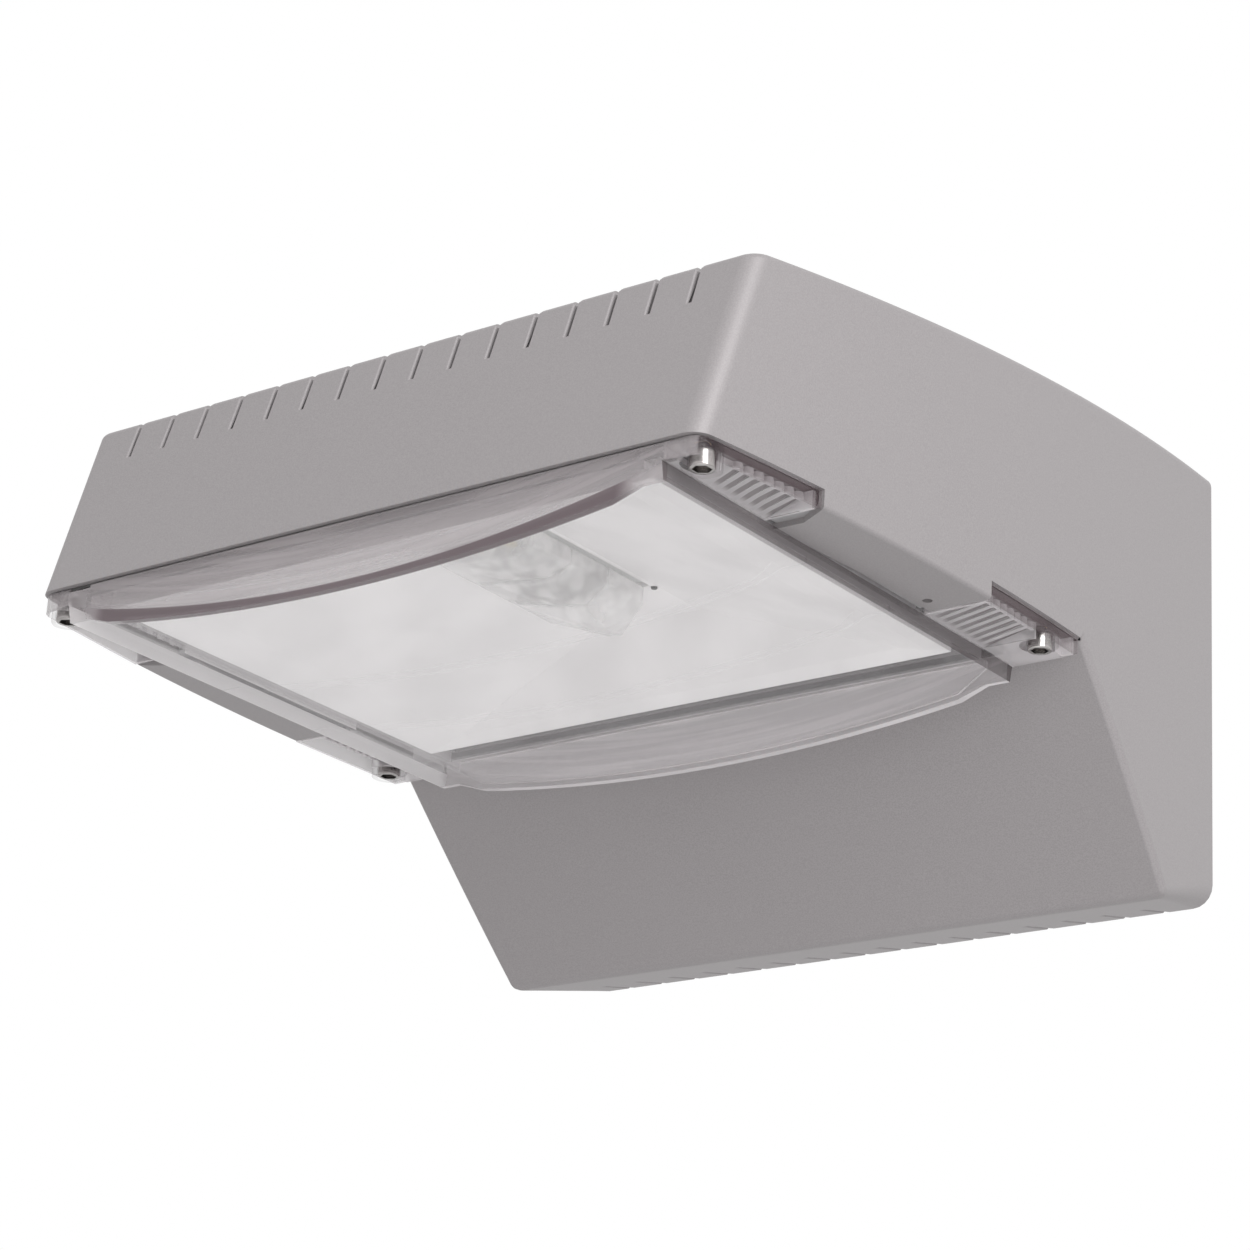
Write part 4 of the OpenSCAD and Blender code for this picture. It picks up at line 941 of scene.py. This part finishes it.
def build_screw(node):
    """A cylinder-head screw with a hexagon socket, on a drawn shank."""
    low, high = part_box(node)
    x, y = (low.x + high.x) / 2, (low.y + high.y) / 2
    screw = begin(node + "_turned", bpy.ops.mesh.primitive_cylinder_add, vertices=48, radius=HEAD_R,
                  depth=HEAD_TOP - HEAD_LOW, location=(x, y, (HEAD_TOP + HEAD_LOW) / 2))
    open_up(screw)
    pick(screw, "edges", lambda e: abs(e.verts[0].co.z - e.verts[1].co.z) < 1e-6)
    bpy.ops.mesh.bevel(offset=HEAD_EDGE, segments=3, affect="EDGES")
    pick(screw, "faces", lambda f: f.normal.z < -0.99)
    bpy.ops.mesh.inset(thickness=0.0009, depth=0.0)
    bpy.ops.mesh.inset(thickness=0.0003, depth=-0.0003)
    pick(screw, "faces", lambda f: f.normal.z > 0.99 and middle_of(f).z > HEAD_TOP - 1e-4)
    bpy.ops.mesh.inset(thickness=HEAD_R - HEAD_EDGE - SHANK_R, depth=0.0)
    extend(z=high.z - HEAD_TOP - SHANK_TIP)
    extend(z=SHANK_TIP)
    stretch(0.75, 0.75, 1.0, (x, y, high.z))
    close_up()
    key = begin("socket_cutter", bpy.ops.mesh.primitive_cylinder_add, vertices=6, radius=KEY_R,
                depth=0.0060, location=(x, y, HEAD_LOW))
    carve(screw, key)
    smooth(screw)
    return dress(screw, node)


build_hood()
build_cover()
build_lens()
for screw_node in sorted(name for name in NODES if name.startswith("cover_screw_")):
    build_screw(screw_node)


# Floor, light and camera

bpy.ops.mesh.primitive_plane_add(size=12.0, location=(0.0, 0.0, -0.75))
floor = bpy.context.object
floor.name = "floor"
floor.data.materials.append(Finish("pale floor", (0.82, 0.82, 0.82), 0.8).material)

world = bpy.data.worlds.new("studio")
bpy.context.scene.world = world
world.use_nodes = True
links = world.node_tree.links
nodes = world.node_tree.nodes
background = nodes["Background"]
background.inputs["Color"].default_value = (1.0, 1.0, 1.0, 1.0)
path = nodes.new("ShaderNodeLightPath")
seen = path.outputs["Is Camera Ray"]
for ray in ("Is Transmission Ray", "Is Glossy Ray"):
    either = nodes.new("ShaderNodeMath")
    either.operation = "MAXIMUM"
    links.new(seen, either.inputs[0])
    links.new(path.outputs[ray], either.inputs[1])
    seen = either.outputs[0]
strength = nodes.new("ShaderNodeMapRange")
strength.inputs["To Min"].default_value = 0.74
strength.inputs["To Max"].default_value = 1.0
links.new(seen, strength.inputs["Value"])
links.new(strength.outputs["Result"], background.inputs["Strength"])


def lamp(name, place, target, size, power):
    """A square soft lamp that looks at a point."""
    data = bpy.data.lights.new(name, "AREA")
    data.shape = "SQUARE"
    data.size = size
    data.energy = power
    lit = bpy.data.objects.new(name, data)
    bpy.context.scene.collection.objects.link(lit)
    lit.location = place
    lit.visible_camera = False
    lit.rotation_euler = (Vector(target) - Vector(place)).to_track_quat("-Z", "Y").to_euler()


lamp("key", (1.6, -1.1, 0.6), (0.0, -0.15, 0.0), 1.2, 26.0)
lamp("fill", (0.2, -0.5, -0.68), (0.0, -0.15, 0.0), 0.5, 0.85)

EYE = Vector((0.67866, -1.03123, -0.42552))
AZIMUTH, ELEVATION, ROLL = (math.radians(v) for v in (-37.952, 20.733, 3.350))
SENSOR, FOCAL_PIXELS, PICTURE_PIXELS = 36.0, 3587.94, 1250.0
forward = Vector((math.sin(AZIMUTH) * math.cos(ELEVATION), math.cos(AZIMUTH) * math.cos(ELEVATION),
                  math.sin(ELEVATION)))
flat = Vector((math.cos(AZIMUTH), -math.sin(AZIMUTH), 0.0))
above = flat.cross(forward)
across = math.cos(ROLL) * flat + math.sin(ROLL) * above
upward = math.cos(ROLL) * above - math.sin(ROLL) * flat
lens = bpy.data.cameras.new("camera")
lens.sensor_width = SENSOR
lens.lens = SENSOR * FOCAL_PIXELS / PICTURE_PIXELS
lens.clip_start = 0.01
eye = bpy.data.objects.new("camera", lens)
bpy.context.scene.collection.objects.link(eye)
eye.matrix_world = Matrix.Translation(EYE) @ Matrix((across, upward, -forward)).transposed().to_4x4()
bpy.context.scene.camera = eye
bpy.context.scene.view_settings.view_transform = "Standard"
